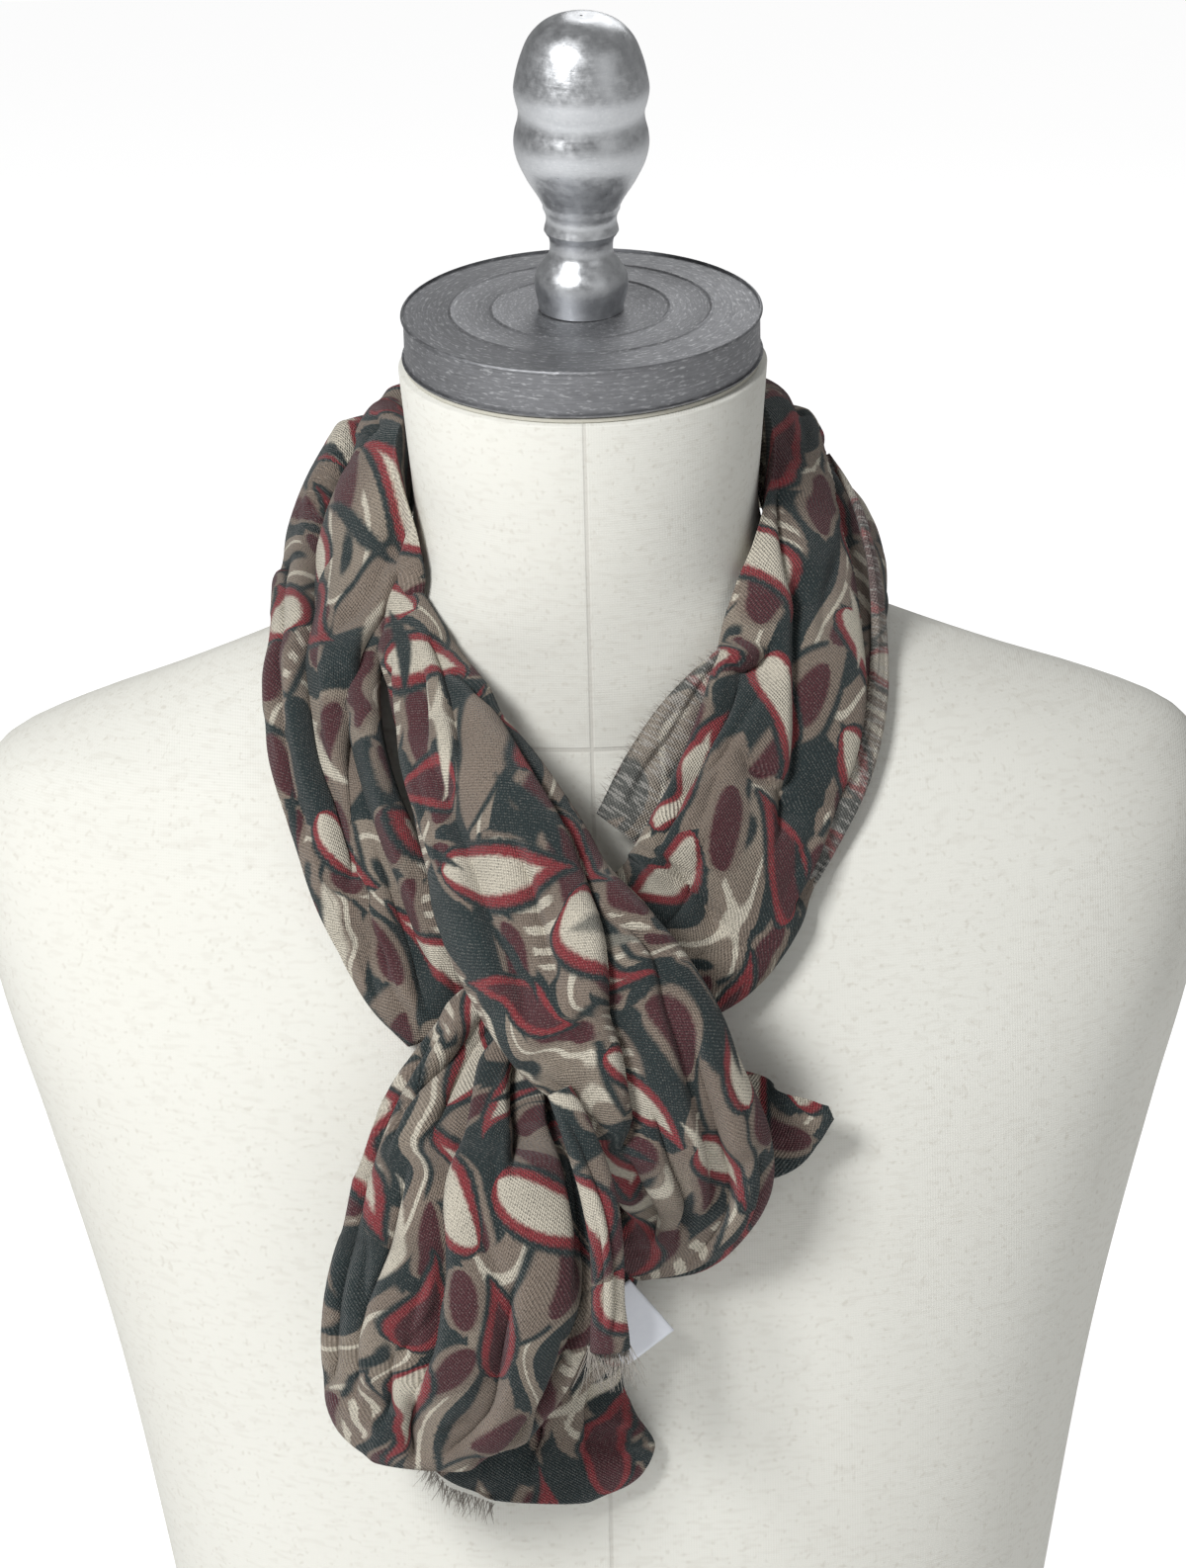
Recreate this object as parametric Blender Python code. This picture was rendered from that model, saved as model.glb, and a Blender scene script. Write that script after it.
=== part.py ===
"""Wool scarf, looped and slipped through itself, on a limbless dress form with a turned metal top.

World frame: metres, +Z up, the front along -Y, the origin at the centre of the form's flat foot.
Every table below is in millimetres and degrees, with its columns named above its rows.
"""

import math

import bmesh
import bpy
import numpy as np
from mathutils import Vector

MM = 0.001

# Cloth
CLOTH_WALL = 2.0
FLAP_WALL = 1.6
LABEL_WALL = 0.8
CLEAR = 1.0
SEAM_GAP = 0.4
RING_ROUNDNESS = 2.2
# Least distance between the front and back of a section where it is pressed on the form
LEAST_THICK = 5.5

# Dress form, from the foot to the top of the neck: z, half width, front, back, roundness of each section
FORM_ROWS = (
    (15, 144, -102, 92, 2.3),
    (60, 138, -98, 86, 2.3),
    (110, 136, -97, 82, 2.3),
    (200, 150, -108, 90, 2.4),
    (309, 170, -114, 99, 2.5),
    (377, 188.5, -109, 105, 2.5),
    (420, 201.5, -100, 106, 2.5),
    (450, 208, -90, 103, 2.4),
    (475, 209, -80, 98, 2.3),
    (488, 205, -72, 93, 2.2),
    (499, 196, -66, 86, 2.1),
    (510, 174, -62, 78, 1.9),
    (521, 145, -61, 71, 1.75),
    (533, 115, -61, 65, 1.65),
    (543, 91, -61.5, 60, 1.7),
    (552, 73, -62.5, 56, 1.85),
    (562, 62, -64, 53, 1.95),
    (575, 57.5, -66, 51, 2.0),
    (600, 57.5, -69, 48, 2.0),
)
FORM_AROUND = 40
NECK_TOP_HALF = 60.2
NECK_TOP_FRONT = -71.8
NECK_TOP_BACK = 46

# Metal cap and finial, on one axis that leans to the front; the finial is screwed in a little askew
CAP_LEAN = 6.4
FINIAL_ASKEW = 1.3
CAP_TOP_Y = -14
CAP_TOP_Z = 647.7
CAP_RADIUS = 59
CAP_THICK = 16
CAP_EDGE = 1.2
FELT_THICK = 1.2
FELT_RADIUS = 58
RIDGE_HIGH = 1.0
RIDGE_HALF = 1.6
RIDGE_RADII = (29, 42.6)
FINIAL_SEAT = 0.35
# Finial: height above the cap's top, radius
FINIAL_ROWS = (
    (0, 13.8), (9.7, 15.2), (11.7, 14.9), (15.6, 12.7), (18.6, 10.6), (22.5, 10.3), (25.4, 11.2),
    (32.3, 12.4), (35.2, 13.0), (45.1, 18.2), (52, 21.2), (56, 21.9), (60, 21.6), (64, 20.6),
    (67, 20.4), (70, 21.2), (74, 21.9), (79, 21.2), (85, 19.2), (91, 16.0), (95.5, 11.5), (98, 6.0),
)
TURNED_STEPS = 32

# Foot board
BOARD_THICK = 14.4
BOARD_INSET = 4

# Stretches of the wound cloth, in rows of x, y, z, wide, thick, face, lift:
# x, y, z place a section's centre, wide and thick are its half sizes,
# face and lift tell where its front looks (0 the front, 90 the viewer's right, and up from level)
# Their folds, in rows of first_across, last_across, depth, before, after, first_row, last_row:
# where a fold lies across the front at its two ends (-1 to 1), its depth, its reach to either side,
# and the rows of its stretch between which it runs
FOLD_FADE_ROWS = 1.2

# The long strand: up the left of the chest, round the neck, down the right, under the cross and into the loop
LONG_ROWS = (
    (-53, -103, 432, 8.5, 5, -6, 10),
    (-61, -101, 446, 12, 7.5, -14, 14),
    (-70, -94, 464, 14, 9.5, -22, 18),
    (-78.5, -85, 483, 15, 10.5, -28, 22),
    (-85, -72, 501, 15, 10.5, -34, 26),
    (-90, -58, 519, 17.5, 11, -40, 32),
    (-89, -42, 537, 20, 12, -46, 37),
    (-83, -23, 553, 28, 13, -50, 40),
    (-83, -2, 567.5, 30, 13.5, -66, 38),
    (-83, 17, 576.5, 31.5, 14.5, -90, 32),
    (-76.5, 38, 581, 32, 15, -116, 28),
    (-58, 60, 584, 29.5, 14, -140, 28),
    (-30, 73, 586, 29, 13.5, -162, 28),
    (0, 78, 587, 29, 13.5, -180, 28),
    (30, 73, 586, 29, 13.5, -198, 28),
    (57, 60, 584, 29.5, 13.5, -220, 28),
    (74, 38, 579, 30.5, 13.5, -244, 29),
    (80.5, 13, 571.5, 31, 13.5, -268, 33),
    (79, -12, 560.5, 27.5, 13, -292, 36),
    (74.5, -35, 548, 23.5, 12.5, -314, 36),
    (66, -56, 528, 25.5, 11.5, -326, 36),
    (56, -71, 510, 27.5, 11, -331, 32),
    (42, -87, 487, 27, 10.5, -335, 27),
    (27, -97, 467, 26, 10, -340, 20),
    (11, -103, 456, 24, 9.5, -346, 14),
    (-6, -108, 449, 21, 9.5, -354, 10),
    (-21, -112, 440, 20, 10, -362, 8),
    (-33, -120, 428, 25, 10.5, -368, 6),
    (-40, -131, 412, 32, 16, -368, 4),
    (-41, -141, 395, 39, 20, -366, 2),
    (-42, -148, 373, 43, 21, -364, 0),
    (-49, -150, 347, 43, 21, -362, 0),
    (-55, -150, 326, 38, 18, -360, 0),
    (-59, -150, 310, 29, 14, -360, -4),
    (-60, -151, 302, 18, 9, -360, -8),
)
LONG_FOLDS = (
    (0.10, 0.30, 3.5, 0.25, 0.25, 0.5, 6.0),
    (-0.60, -0.62, 5.0, 0.14, 0.22, 4.0, 11.0),
    (0.35, -0.15, 4.5, 0.20, 0.28, 6.5, 12.5),
    (0.72, 0.55, 4.0, 0.16, 0.20, 7.0, 13.0),
    (-0.25, -0.10, 4.0, 0.22, 0.22, 11.0, 17.0),
    (0.45, 0.40, 4.5, 0.20, 0.20, 12.0, 20.0),
    (-0.55, -0.35, 3.0, 0.16, 0.26, 15.0, 23.5),
    (0.85, -0.10, 6.5, 0.16, 0.22, 25.5, 31.0),
    (0.10, -0.35, 8.0, 0.14, 0.16, 25.8, 29.6),
    (0.45, 0.55, 4.5, 0.18, 0.20, 26.5, 32.0),
    (-0.45, -0.75, 4.5, 0.14, 0.16, 26.5, 31.0),
    (-0.20, 0.15, 4.0, 0.16, 0.18, 31.0, 34.0),
    (0.70, 0.45, 5.0, 0.18, 0.18, 31.0, 34.0),
)
# The long strand's own nodes: name, first row, last row, rings, points round
LONG_PARTS = (
    ("scarf_left_outer", 0, 6.6, 12, 18),
    ("scarf_neck_wrap", 6.6, 20.4, 25, 24),
    ("scarf_right_front", 20.4, 25.0, 9, 24),
    ("scarf_hanging_end", 25.0, 34.0, 19, 32),
)

# The strand that crosses in front, then turns under and back behind the loop
CROSS_ROWS = (
    (-58, -50, 546, 12, 10, -40, 24),
    (-54, -60, 537, 16, 12, -34, 22),
    (-47, -75, 526, 20.5, 14, -26, 20),
    (-37, -95, 511, 25.5, 15.5, -18, 16),
    (-27, -112, 493, 29, 16, -12, 14),
    (-19, -124, 477, 31, 15, -8, 12),
    (-9, -134, 464, 33, 14.5, -4, 10),
    (1, -140, 452, 33.5, 14, 0, 8),
    (12, -143, 438, 30.5, 14, 4, 4),
    (21, -141, 421, 27, 15, 8, 0),
    (27, -136, 402, 27.5, 15, 10, -4),
    (29, -129, 385, 27, 14, 8, -10),
    (21, -122, 368, 21, 11, 4, -20),
    (5, -119, 361, 14, 7.5, 0, -26),
)
CROSS_FOLDS = (
    (-0.68, 0.95, 7.0, 0.34, 0.10, 1.5, 10.5),
    (0.55, 0.35, 4.0, 0.20, 0.20, 0.3, 4.5),
    (-0.10, 0.05, 3.5, 0.20, 0.20, 0.3, 3.6),
    (-0.55, -0.30, 3.0, 0.18, 0.18, 7.0, 12.5),
    (0.30, 0.15, 3.5, 0.20, 0.20, 9.5, 13.0),
)
CROSS_RINGS = 24
CROSS_AROUND = 26

# Flattened pouch of cloth that shows below the loop and at its right
POUCH_ROWS = (
    (2, -118.5, 345, 10, 4.5, 0, 0),
    (-1, -120, 330, 14, 5, 0, 0),
    (-6, -120, 317, 24, 5.5, 0, 0),
    (-14, -120.5, 305, 35, 5.5, 0, 0),
    (-18, -120.5, 296, 39.5, 5.5, 0, 0),
    (-19, -120.5, 287, 37, 5, 0, 0),
    (-19, -120, 279, 26, 4.5, 0, 0),
    (-19, -120, 273, 12, 4, 0, 0),
)
POUCH_FOLDS = (
    (-0.35, -0.10, 1.6, 0.2, 0.2, 1.5, 6.5),
)
POUCH_RINGS = 10
POUCH_AROUND = 18

# Narrow pleat hanging before the loop's right side
PLEAT_ROWS = (
    (-13, -157.5, 431, 4, 3.2, 0, 0),
    (-6, -163, 415, 5.5, 3.8, 6, 0),
    (-1, -167, 398, 6, 4.2, 10, 0),
    (1, -168, 379, 6, 4.2, 12, 0),
    (1, -167, 360, 6, 4.0, 12, 0),
    (1, -165, 346, 6.5, 3.6, 10, 0),
)
PLEAT_RINGS = 10
PLEAT_AROUND = 10
PLEAT_WALL = 1.3

# Single layers, in rows of x, y, z, wide, face, lift, bow: the middle, half the breadth,
# where the front looks, and how far the middle bows out
CORNER_ROWS = (
    (44.7, -114.1, 402, 18, 12, 0, 2),
    (58, -115, 402, 13, 14, 0, 2),
    (65, -116, 403, 7.5, 14, 0, 2),
    (72, -116, 405, 2.5, 14, 0, 1),
)
INNER_FLAP_ROWS = (
    (36, -62, 542, 5, 10, 16, 1),
    (25, -70, 530, 8, 6, 16, 1.5),
    (17, -77, 517, 10, 2, 16, 2),
    (9, -83, 505, 10.5, 0, 16, 2),
    (0, -88, 494, 7, -4, 14, 1.5),
)
RIGHT_EDGE_ROWS = (
    (98, -4, 571, 3.4, 80, 34, 0.7),
    (100, -18, 552, 3.6, 66, 30, 0.8),
    (99, -32, 534, 4, 54, 30, 0.8),
    (95, -51, 515, 4, 42, 28, 0.8),
    (88, -65, 498, 4, 34, 26, 0.8),
    (80, -75, 484, 4, 28, 24, 0.8),
    (69, -84, 469, 4, 24, 20, 0.8),
    (57, -93, 452, 3.8, 20, 16, 0.8),
    (47, -98, 438, 3.2, 16, 12, 0.6),
)
# Frayed ends: where each strip of loose yarns starts and ends, how many yarns hang from it and how far
FRINGES = {
    "scarf_pleat_fringe": ((-4.5, -166, 344.6), (7, -164, 344), 9, 9),
    "scarf_end_fringe": ((-56.1, -120.5, 284.1), (-45.6, -120.5, 277.6), 8, 6),
}
FRINGE_STRIP = 1.2
FRINGE_TAPER = 0.35
FRINGE_UNEVEN = 0.3
# Care label, sewn in behind the loop: its middle line, left blank
LABEL_ROWS = (
    (0, -125.8, 347, 10, 0, 0, 0),
    (14, -125.8, 329, 10, 0, 0, 0),
)


def smooth_curve(rows):
    """A smooth curve through the rows: a function that reads it, and the length along it at each row."""
    rows = np.array(rows, float)
    at = np.concatenate([[0], np.cumsum(np.linalg.norm(np.diff(rows[:, :3], axis=0), axis=1))])
    slope = np.gradient(rows, at, axis=0)

    def read(where):
        i = np.clip(np.searchsorted(at, where, side="right") - 1, 0, len(at) - 2)
        span = at[i + 1] - at[i]
        t = ((where - at[i]) / span)[:, None]
        span = span[:, None]
        first = (2 * t**3 - 3 * t**2 + 1) * rows[i] + (t**3 - 2 * t**2 + t) * span * slope[i]
        last = (3 * t**2 - 2 * t**3) * rows[i + 1] + (t**3 - t**2) * span * slope[i + 1]
        return first + last

    return read, at


def sections(rows, first, last, count, first_gap=0, last_gap=0):
    """Evenly spaced sections between two row numbers: their columns, row numbers, and directions along."""
    read, at = smooth_curve(rows)
    number = np.arange(len(at))
    start, end = np.interp([first, last], number, at)
    where = np.linspace(start + first_gap, end - last_gap, count)
    step = 0.5
    along = read(np.minimum(where + step, at[-1])) - read(np.maximum(where - step, 0))
    along = along[:, :3] / np.linalg.norm(along[:, :3], axis=1)[:, None]
    return read(where), np.interp(where, at, number), along


def form_section(z):
    """Half width, front, back and roundness of the form at each height."""
    table = np.array(FORM_ROWS, float)
    return [np.interp(z, table[:, 0], column) for column in table.T[1:]]


def form_ratio(points):
    """Below 1 inside the form, 1 on its surface."""
    half, front, back, roundness = form_section(points[:, 2])
    middle = (front + back) / 2
    deep = (back - front) / 2
    across = np.abs(points[:, 0] / half) ** roundness
    along = np.abs((points[:, 1] - middle) / deep) ** roundness
    return (across + along) ** (1 / roundness)


def stand_clear(points, clear, along=None):
    """Moves points out to the distance clear from the form, within their ring's plane if along is given."""
    points = points.copy()
    step = 0.5
    for _ in range(14):
        ratio = form_ratio(points)
        slope = [form_ratio(points + step * axis) - form_ratio(points - step * axis) for axis in np.eye(3)]
        slope = np.stack(slope, axis=1) / (2 * step)
        steep = np.maximum(np.linalg.norm(slope, axis=1), 1e-6)
        need = np.clip(clear - (ratio - 1) / steep, 0, 5)
        way = slope / steep[:, None]
        if along is not None:
            way = way - (way * along).sum(axis=1)[:, None] * along
            way /= np.maximum((way**2).sum(axis=1), 0.3)[:, None]
        points += way * need[:, None]
    return points


def facing(face, lift, along):
    """Unit vectors across the breadth and out of the front, square to the direction along."""
    face, lift = np.radians(face), np.radians(lift)
    out = np.stack([np.sin(face) * np.cos(lift), -np.cos(face) * np.cos(lift), np.sin(lift)], axis=1)
    out -= (out * along).sum(axis=1)[:, None] * along
    out /= np.linalg.norm(out, axis=1)[:, None]
    return np.cross(along, out), out


def fold_depth(across, number, folds):
    """How far the front of the cloth lies in, from the folds that run along it."""
    depth = np.zeros(np.broadcast(across, number).shape)
    for first_across, last_across, deep, before, after, first_row, last_row in folds:
        part = np.clip((number - first_row) / (last_row - first_row), 0, 1)
        offset = across - (first_across + (last_across - first_across) * part)
        begun = np.clip((number - first_row) / FOLD_FADE_ROWS, 0, 1)
        inside = begun * np.clip((last_row - number) / FOLD_FADE_ROWS, 0, 1)
        fade = inside * inside * (3 - 2 * inside)
        reach = np.where(offset < 0, before, after)
        depth += deep * fade * np.exp(-((offset / reach) ** 2))
    return depth


def outer_rings(rows, number, along, folds, around):
    """Closed rings of the cloth's outer skin, folded on the front and pressed against the form."""
    across, out = facing(rows[:, 5], rows[:, 6], along)
    angle = np.linspace(0, 2 * math.pi, around, endpoint=False) - math.pi / 2
    power = 2 / RING_ROUNDNESS
    side = np.sign(np.cos(angle)) * np.abs(np.cos(angle)) ** power
    front = np.sign(np.sin(angle)) * np.abs(np.sin(angle)) ** power
    room = 2 * (rows[:, 4:5] - 1.5 * CLOTH_WALL) * np.clip(front, 0, 1) ** 0.5
    deep = np.minimum(fold_depth(side[None, :], number[:, None], folds) * np.clip(front, 0, 1) ** 0.5, room)
    x = rows[:, 3:4] * side
    y = rows[:, 4:5] * front - deep
    grid = rows[:, None, :3] + across[:, None, :] * x[..., None] + out[:, None, :] * y[..., None]
    level = np.repeat(along, around, axis=0)
    clear = CLEAR + (1 + np.sin(angle)) / 2 * LEAST_THICK
    clear = np.tile(clear, len(rows))
    return stand_clear(grid.reshape(-1, 3), clear, level).reshape(grid.shape)


def inner_rings(grid, along, wall):
    """The same rings one wall further in, each in its own plane."""
    after, before = np.roll(grid, -1, axis=1) - grid, grid - np.roll(grid, 1, axis=1)
    normals = []
    for edge in (before, after):
        edge = edge / np.linalg.norm(edge, axis=2)[..., None]
        normals.append(np.cross(edge, along[:, None, :]))
    inward = normals[0] + normals[1]
    inward /= np.linalg.norm(inward, axis=2)[..., None]
    middle = grid.mean(axis=1, keepdims=True)
    if ((middle - grid) * inward).sum() < 0:
        inward = -inward
    corner = np.clip(np.abs((normals[0] * inward).sum(axis=2)), 0.75, 1)
    return grid + inward * (wall / corner)[..., None]


def plain_material(name, colour, roughness=0.85, metallic=0.0):
    material = bpy.data.materials.new(name)
    material.use_nodes = True
    shader = material.node_tree.nodes["Principled BSDF"]
    shader.inputs["Base Color"].default_value = (*colour, 1)
    shader.inputs["Roughness"].default_value = roughness
    shader.inputs["Metallic"].default_value = metallic
    material.diffuse_color = (*colour, 1)
    return material


def add_object(name, bm, material):
    bmesh.ops.recalc_face_normals(bm, faces=bm.faces)
    mesh = bpy.data.meshes.new(name)
    bm.to_mesh(mesh)
    bm.free()
    mesh.shade_smooth()
    mesh.set_sharp_from_angle(angle=math.radians(40))
    mesh.materials.append(material)
    obj = bpy.data.objects.new(name, mesh)
    bpy.context.scene.collection.objects.link(obj)
    return obj


def add_ring(bm, points):
    return [bm.verts.new(point) for point in (np.asarray(points) * MM).tolist()]


def bridge(bm, first, second):
    count = len(first)
    nexts = [(k + 1) % count for k in range(count)]
    return [bm.faces.new((first[k], first[n], second[n], second[k])) for k, n in enumerate(nexts)]


def wall_tube(name, grid, along, material, wall):
    """A stretch of cloth closed round on itself: an outer and an inner skin, joined at both open ends."""
    bm = bmesh.new()
    outer = [add_ring(bm, ring) for ring in grid]
    inner = [add_ring(bm, ring) for ring in inner_rings(grid, along, wall)]
    for i in range(len(outer) - 1):
        bridge(bm, outer[i], outer[i + 1])
        bridge(bm, inner[i + 1], inner[i])
    bridge(bm, inner[0], outer[0])
    bridge(bm, outer[-1], inner[-1])
    return add_object(name, bm, material)


def stretch(name, rows, folds, rings, around, material, wall=CLOTH_WALL, span=None, gaps=(0, 0)):
    first, last = span or (0, len(rows) - 1)
    columns, number, along = sections(rows, first, last, rings, *gaps)
    grid = outer_rings(columns, number, along, folds, around)
    return wall_tube(name, grid, along, material, wall)


def sheet(name, rows, lengths, points, material, wall=FLAP_WALL):
    """A single layer, bowed across, as a closed slab of one wall's thickness."""
    columns, _, along = sections(rows, 0, len(rows) - 1, lengths)
    across, out = facing(columns[:, 4], columns[:, 5], along)
    place = np.linspace(-1, 1, points)
    x = columns[:, 3:4] * place
    y = columns[:, 6:7] * (1 - place**2)
    middle = columns[:, None, :3] + across[:, None, :] * x[..., None]
    front = middle + out[:, None, :] * (y + wall / 2)[..., None]
    back = front - out[:, None, :] * wall
    lift = stand_clear(back.reshape(-1, 3), CLEAR).reshape(back.shape) - back
    bm = bmesh.new()
    loops = [
        add_ring(bm, np.concatenate([near, far[::-1]]))
        for near, far in zip(front + lift, back + lift)
    ]
    for first, second in zip(loops, loops[1:]):
        bridge(bm, first, second)
    for loop in (loops[0], loops[-1]):
        for k in range(points - 1):
            bm.faces.new((loop[k], loop[k + 1], loop[-k - 2], loop[-k - 1]))
    return add_object(name, bm, material)


def fringe(name, start, end, yarns, length, material):
    """A narrow strip with yarns drawn down out of every other cell of its lower edge."""
    start, end = np.array(start, float), np.array(end, float)
    along = (end - start) / np.linalg.norm(end - start)
    front = np.cross((0, 0, 1), along)
    front /= np.linalg.norm(front)
    down = np.cross(along, front) * -1
    corners = FRINGE_STRIP / 2 * np.array([-down + front, -down - front, down - front, down + front])
    places = np.linspace(start, end, 2 * yarns)
    bm = bmesh.new()
    loops = [add_ring(bm, place + corners) for place in places]
    lower = [bridge(bm, first, second)[2] for first, second in zip(loops, loops[1:])]
    bm.faces.new(loops[0])
    bm.faces.new(loops[-1])
    grown = bmesh.ops.extrude_discrete_faces(bm, faces=lower[::2])["faces"]
    for k, face in enumerate(grown):
        centre = face.calc_center_median()
        reach = length * (1 + FRINGE_UNEVEN * math.sin(2.3 * k + yarns)) * MM
        aside = math.sin(1.7 * k) * MM
        for vert in face.verts:
            vert.co = centre + (vert.co - centre) * FRINGE_TAPER
            vert.co += Vector(down * reach + along * aside)
    return add_object(name, bm, material)


def lofted(name, rings, material):
    """A whole solid through closed rings, with both ends filled."""
    bm = bmesh.new()
    loops = [add_ring(bm, ring) for ring in rings]
    for first, second in zip(loops, loops[1:]):
        bridge(bm, first, second)
    bm.faces.new(loops[0])
    bm.faces.new(loops[-1])
    return add_object(name, bm, material)


def form_ring(half, front, back, roundness, z):
    angle = np.linspace(0, 2 * math.pi, FORM_AROUND, endpoint=False)
    power = 2 / roundness
    side = np.sign(np.cos(angle)) * np.abs(np.cos(angle)) ** power
    deep = np.sign(np.sin(angle)) * np.abs(np.sin(angle)) ** power
    middle = (front + back) / 2
    return np.stack([half * side, middle + (back - front) / 2 * deep, np.full(FORM_AROUND, z)], axis=1)


def turned(name, profile, material, askew=0.0):
    """A body turned about the cap's leaning axis; profile is height above the cap's top, and radius."""
    lean, askew = math.radians(CAP_LEAN), math.radians(askew)
    upright = np.array([0, -math.sin(lean), math.cos(lean)])
    axis = upright * math.cos(askew) + np.array([math.sin(askew), 0, 0])
    side = np.array([math.cos(askew), 0, 0]) - upright * math.sin(askew)
    front = np.cross(axis, side)
    centre = np.array([0, CAP_TOP_Y, CAP_TOP_Z])
    angle = np.linspace(0, 2 * math.pi, TURNED_STEPS, endpoint=False)[:, None]
    rings = [
        centre + axis * height + radius * (np.cos(angle) * side + np.sin(angle) * front)
        for height, radius in profile
    ]
    return lofted(name, rings, material)


def cap_profile():
    rows = [(-CAP_THICK, CAP_RADIUS - CAP_EDGE), (CAP_EDGE - CAP_THICK, CAP_RADIUS)]
    rows += [(-CAP_EDGE, CAP_RADIUS), (0, CAP_RADIUS - CAP_EDGE)]
    for radius in sorted(RIDGE_RADII, reverse=True):
        rows += [(0, radius + RIDGE_HALF), (RIDGE_HIGH, radius), (0, radius - RIDGE_HALF)]
    rows += [(0, RIDGE_RADII[0] / 2)]
    return rows


def neck_top_ring():
    """The neck is cut parallel to the leaning cap, below the cap, the felt and a gap on either side of it."""
    lean = math.radians(CAP_LEAN)
    below = CAP_THICK + FELT_THICK + 2 * SEAM_GAP
    ring = form_ring(NECK_TOP_HALF, NECK_TOP_FRONT, NECK_TOP_BACK, 2.0, 0)
    under_y = CAP_TOP_Y + below * math.sin(lean)
    ring[:, 2] = CAP_TOP_Z - below * math.cos(lean) + (ring[:, 1] - under_y) * math.tan(lean)
    return ring


def build_form(cloth, wood, steel, felt):
    rings = [form_ring(half, front, back, roundness, z) for z, half, front, back, roundness in FORM_ROWS]
    lofted("form_torso", rings + [neck_top_ring()], cloth)
    half, front, back, roundness = FORM_ROWS[0][1:]
    low = form_ring(half - BOARD_INSET, front + BOARD_INSET, back - BOARD_INSET, roundness, 0)
    lofted("form_board", [low, low + np.array([0, 0, BOARD_THICK])], wood)
    turned("form_cap", cap_profile(), steel)
    felt_top = -CAP_THICK - SEAM_GAP
    turned("form_felt", ((felt_top - FELT_THICK, FELT_RADIUS), (felt_top, FELT_RADIUS)), felt)
    turned("form_finial", [(h + FINIAL_SEAT, r) for h, r in FINIAL_ROWS], steel, FINIAL_ASKEW)


def build_scarf(wool, reverse, satin):
    for name, first, last, rings, around in LONG_PARTS:
        gaps = (SEAM_GAP / 2 if first else 0, SEAM_GAP / 2 if last < len(LONG_ROWS) - 1 else 0)
        stretch(name, LONG_ROWS, LONG_FOLDS, rings, around, wool, span=(first, last), gaps=gaps)
    stretch("scarf_cross", CROSS_ROWS, CROSS_FOLDS, CROSS_RINGS, CROSS_AROUND, wool)
    stretch("scarf_tucked_end", POUCH_ROWS, POUCH_FOLDS, POUCH_RINGS, POUCH_AROUND, wool, PLEAT_WALL)
    stretch("scarf_hanging_pleat", PLEAT_ROWS, (), PLEAT_RINGS, PLEAT_AROUND, wool, PLEAT_WALL)
    sheet("scarf_corner", CORNER_ROWS, 7, 7, wool)
    sheet("scarf_inner_flap", INNER_FLAP_ROWS, 9, 7, reverse)
    sheet("scarf_right_edge", RIGHT_EDGE_ROWS, 20, 4, reverse)
    sheet("care_label", LABEL_ROWS, 2, 3, satin, LABEL_WALL)
    for name, (start, end, yarns, length) in FRINGES.items():
        fringe(name, start, end, yarns, length, reverse)


def clear_scene():
    for obj in list(bpy.data.objects):
        bpy.data.objects.remove(obj, do_unlink=True)


def main():
    clear_scene()
    calico = plain_material("calico", (0.80, 0.79, 0.74), 0.85)
    steel = plain_material("brushed_steel", (0.62, 0.62, 0.63), 0.32, 1.0)
    felt = plain_material("felt", (0.72, 0.72, 0.68), 0.95)
    wood = plain_material("board", (0.45, 0.33, 0.22), 0.6)
    wool = plain_material("printed_wool", (0.11, 0.10, 0.09), 0.88)
    reverse = plain_material("printed_wool_reverse", (0.22, 0.21, 0.20), 0.9)
    satin = plain_material("white_satin", (0.82, 0.83, 0.86), 0.4)
    build_form(calico, wood, steel, felt)
    build_scarf(wool, reverse, satin)


main()
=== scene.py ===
import math
import random

import bmesh
import bpy
import numpy as np
from mathutils import Euler, Matrix, Vector


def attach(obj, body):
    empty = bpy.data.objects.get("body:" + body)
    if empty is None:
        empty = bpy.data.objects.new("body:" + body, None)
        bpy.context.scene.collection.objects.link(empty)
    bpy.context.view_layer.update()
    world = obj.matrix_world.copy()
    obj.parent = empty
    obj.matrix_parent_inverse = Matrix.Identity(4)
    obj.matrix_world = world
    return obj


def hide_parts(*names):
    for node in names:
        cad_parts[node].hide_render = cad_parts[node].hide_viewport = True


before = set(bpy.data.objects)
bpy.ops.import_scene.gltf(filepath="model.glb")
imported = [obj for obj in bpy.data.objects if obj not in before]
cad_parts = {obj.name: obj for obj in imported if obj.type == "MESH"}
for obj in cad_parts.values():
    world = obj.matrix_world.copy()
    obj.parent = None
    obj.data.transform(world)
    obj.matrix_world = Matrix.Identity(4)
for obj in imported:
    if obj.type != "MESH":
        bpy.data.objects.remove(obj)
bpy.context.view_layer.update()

mm = 0.001


def rgb(code):
    parts = [int(code[k:k + 2], 16) / 255 for k in (0, 2, 4)]
    return tuple(c / 12.92 if c < 0.04045 else ((c + 0.055) / 1.055) ** 2.4 for c in parts) + (1,)


# a shader value that takes the usual arithmetic, from either side
class Value:
    def __init__(self, shade, socket):
        self.shade = shade
        self.socket = socket


def overload(name, operation):
    def forward(self, other):
        return self.shade.math(operation, self, other)

    def reflected(self, other):
        return self.shade.math(operation, other, self)

    setattr(Value, f"__{name}__", forward)
    setattr(Value, f"__r{name}__", reflected)


overload("add", "ADD")
overload("sub", "SUBTRACT")
overload("mul", "MULTIPLY")
overload("truediv", "DIVIDE")
overload("pow", "POWER")


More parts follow.
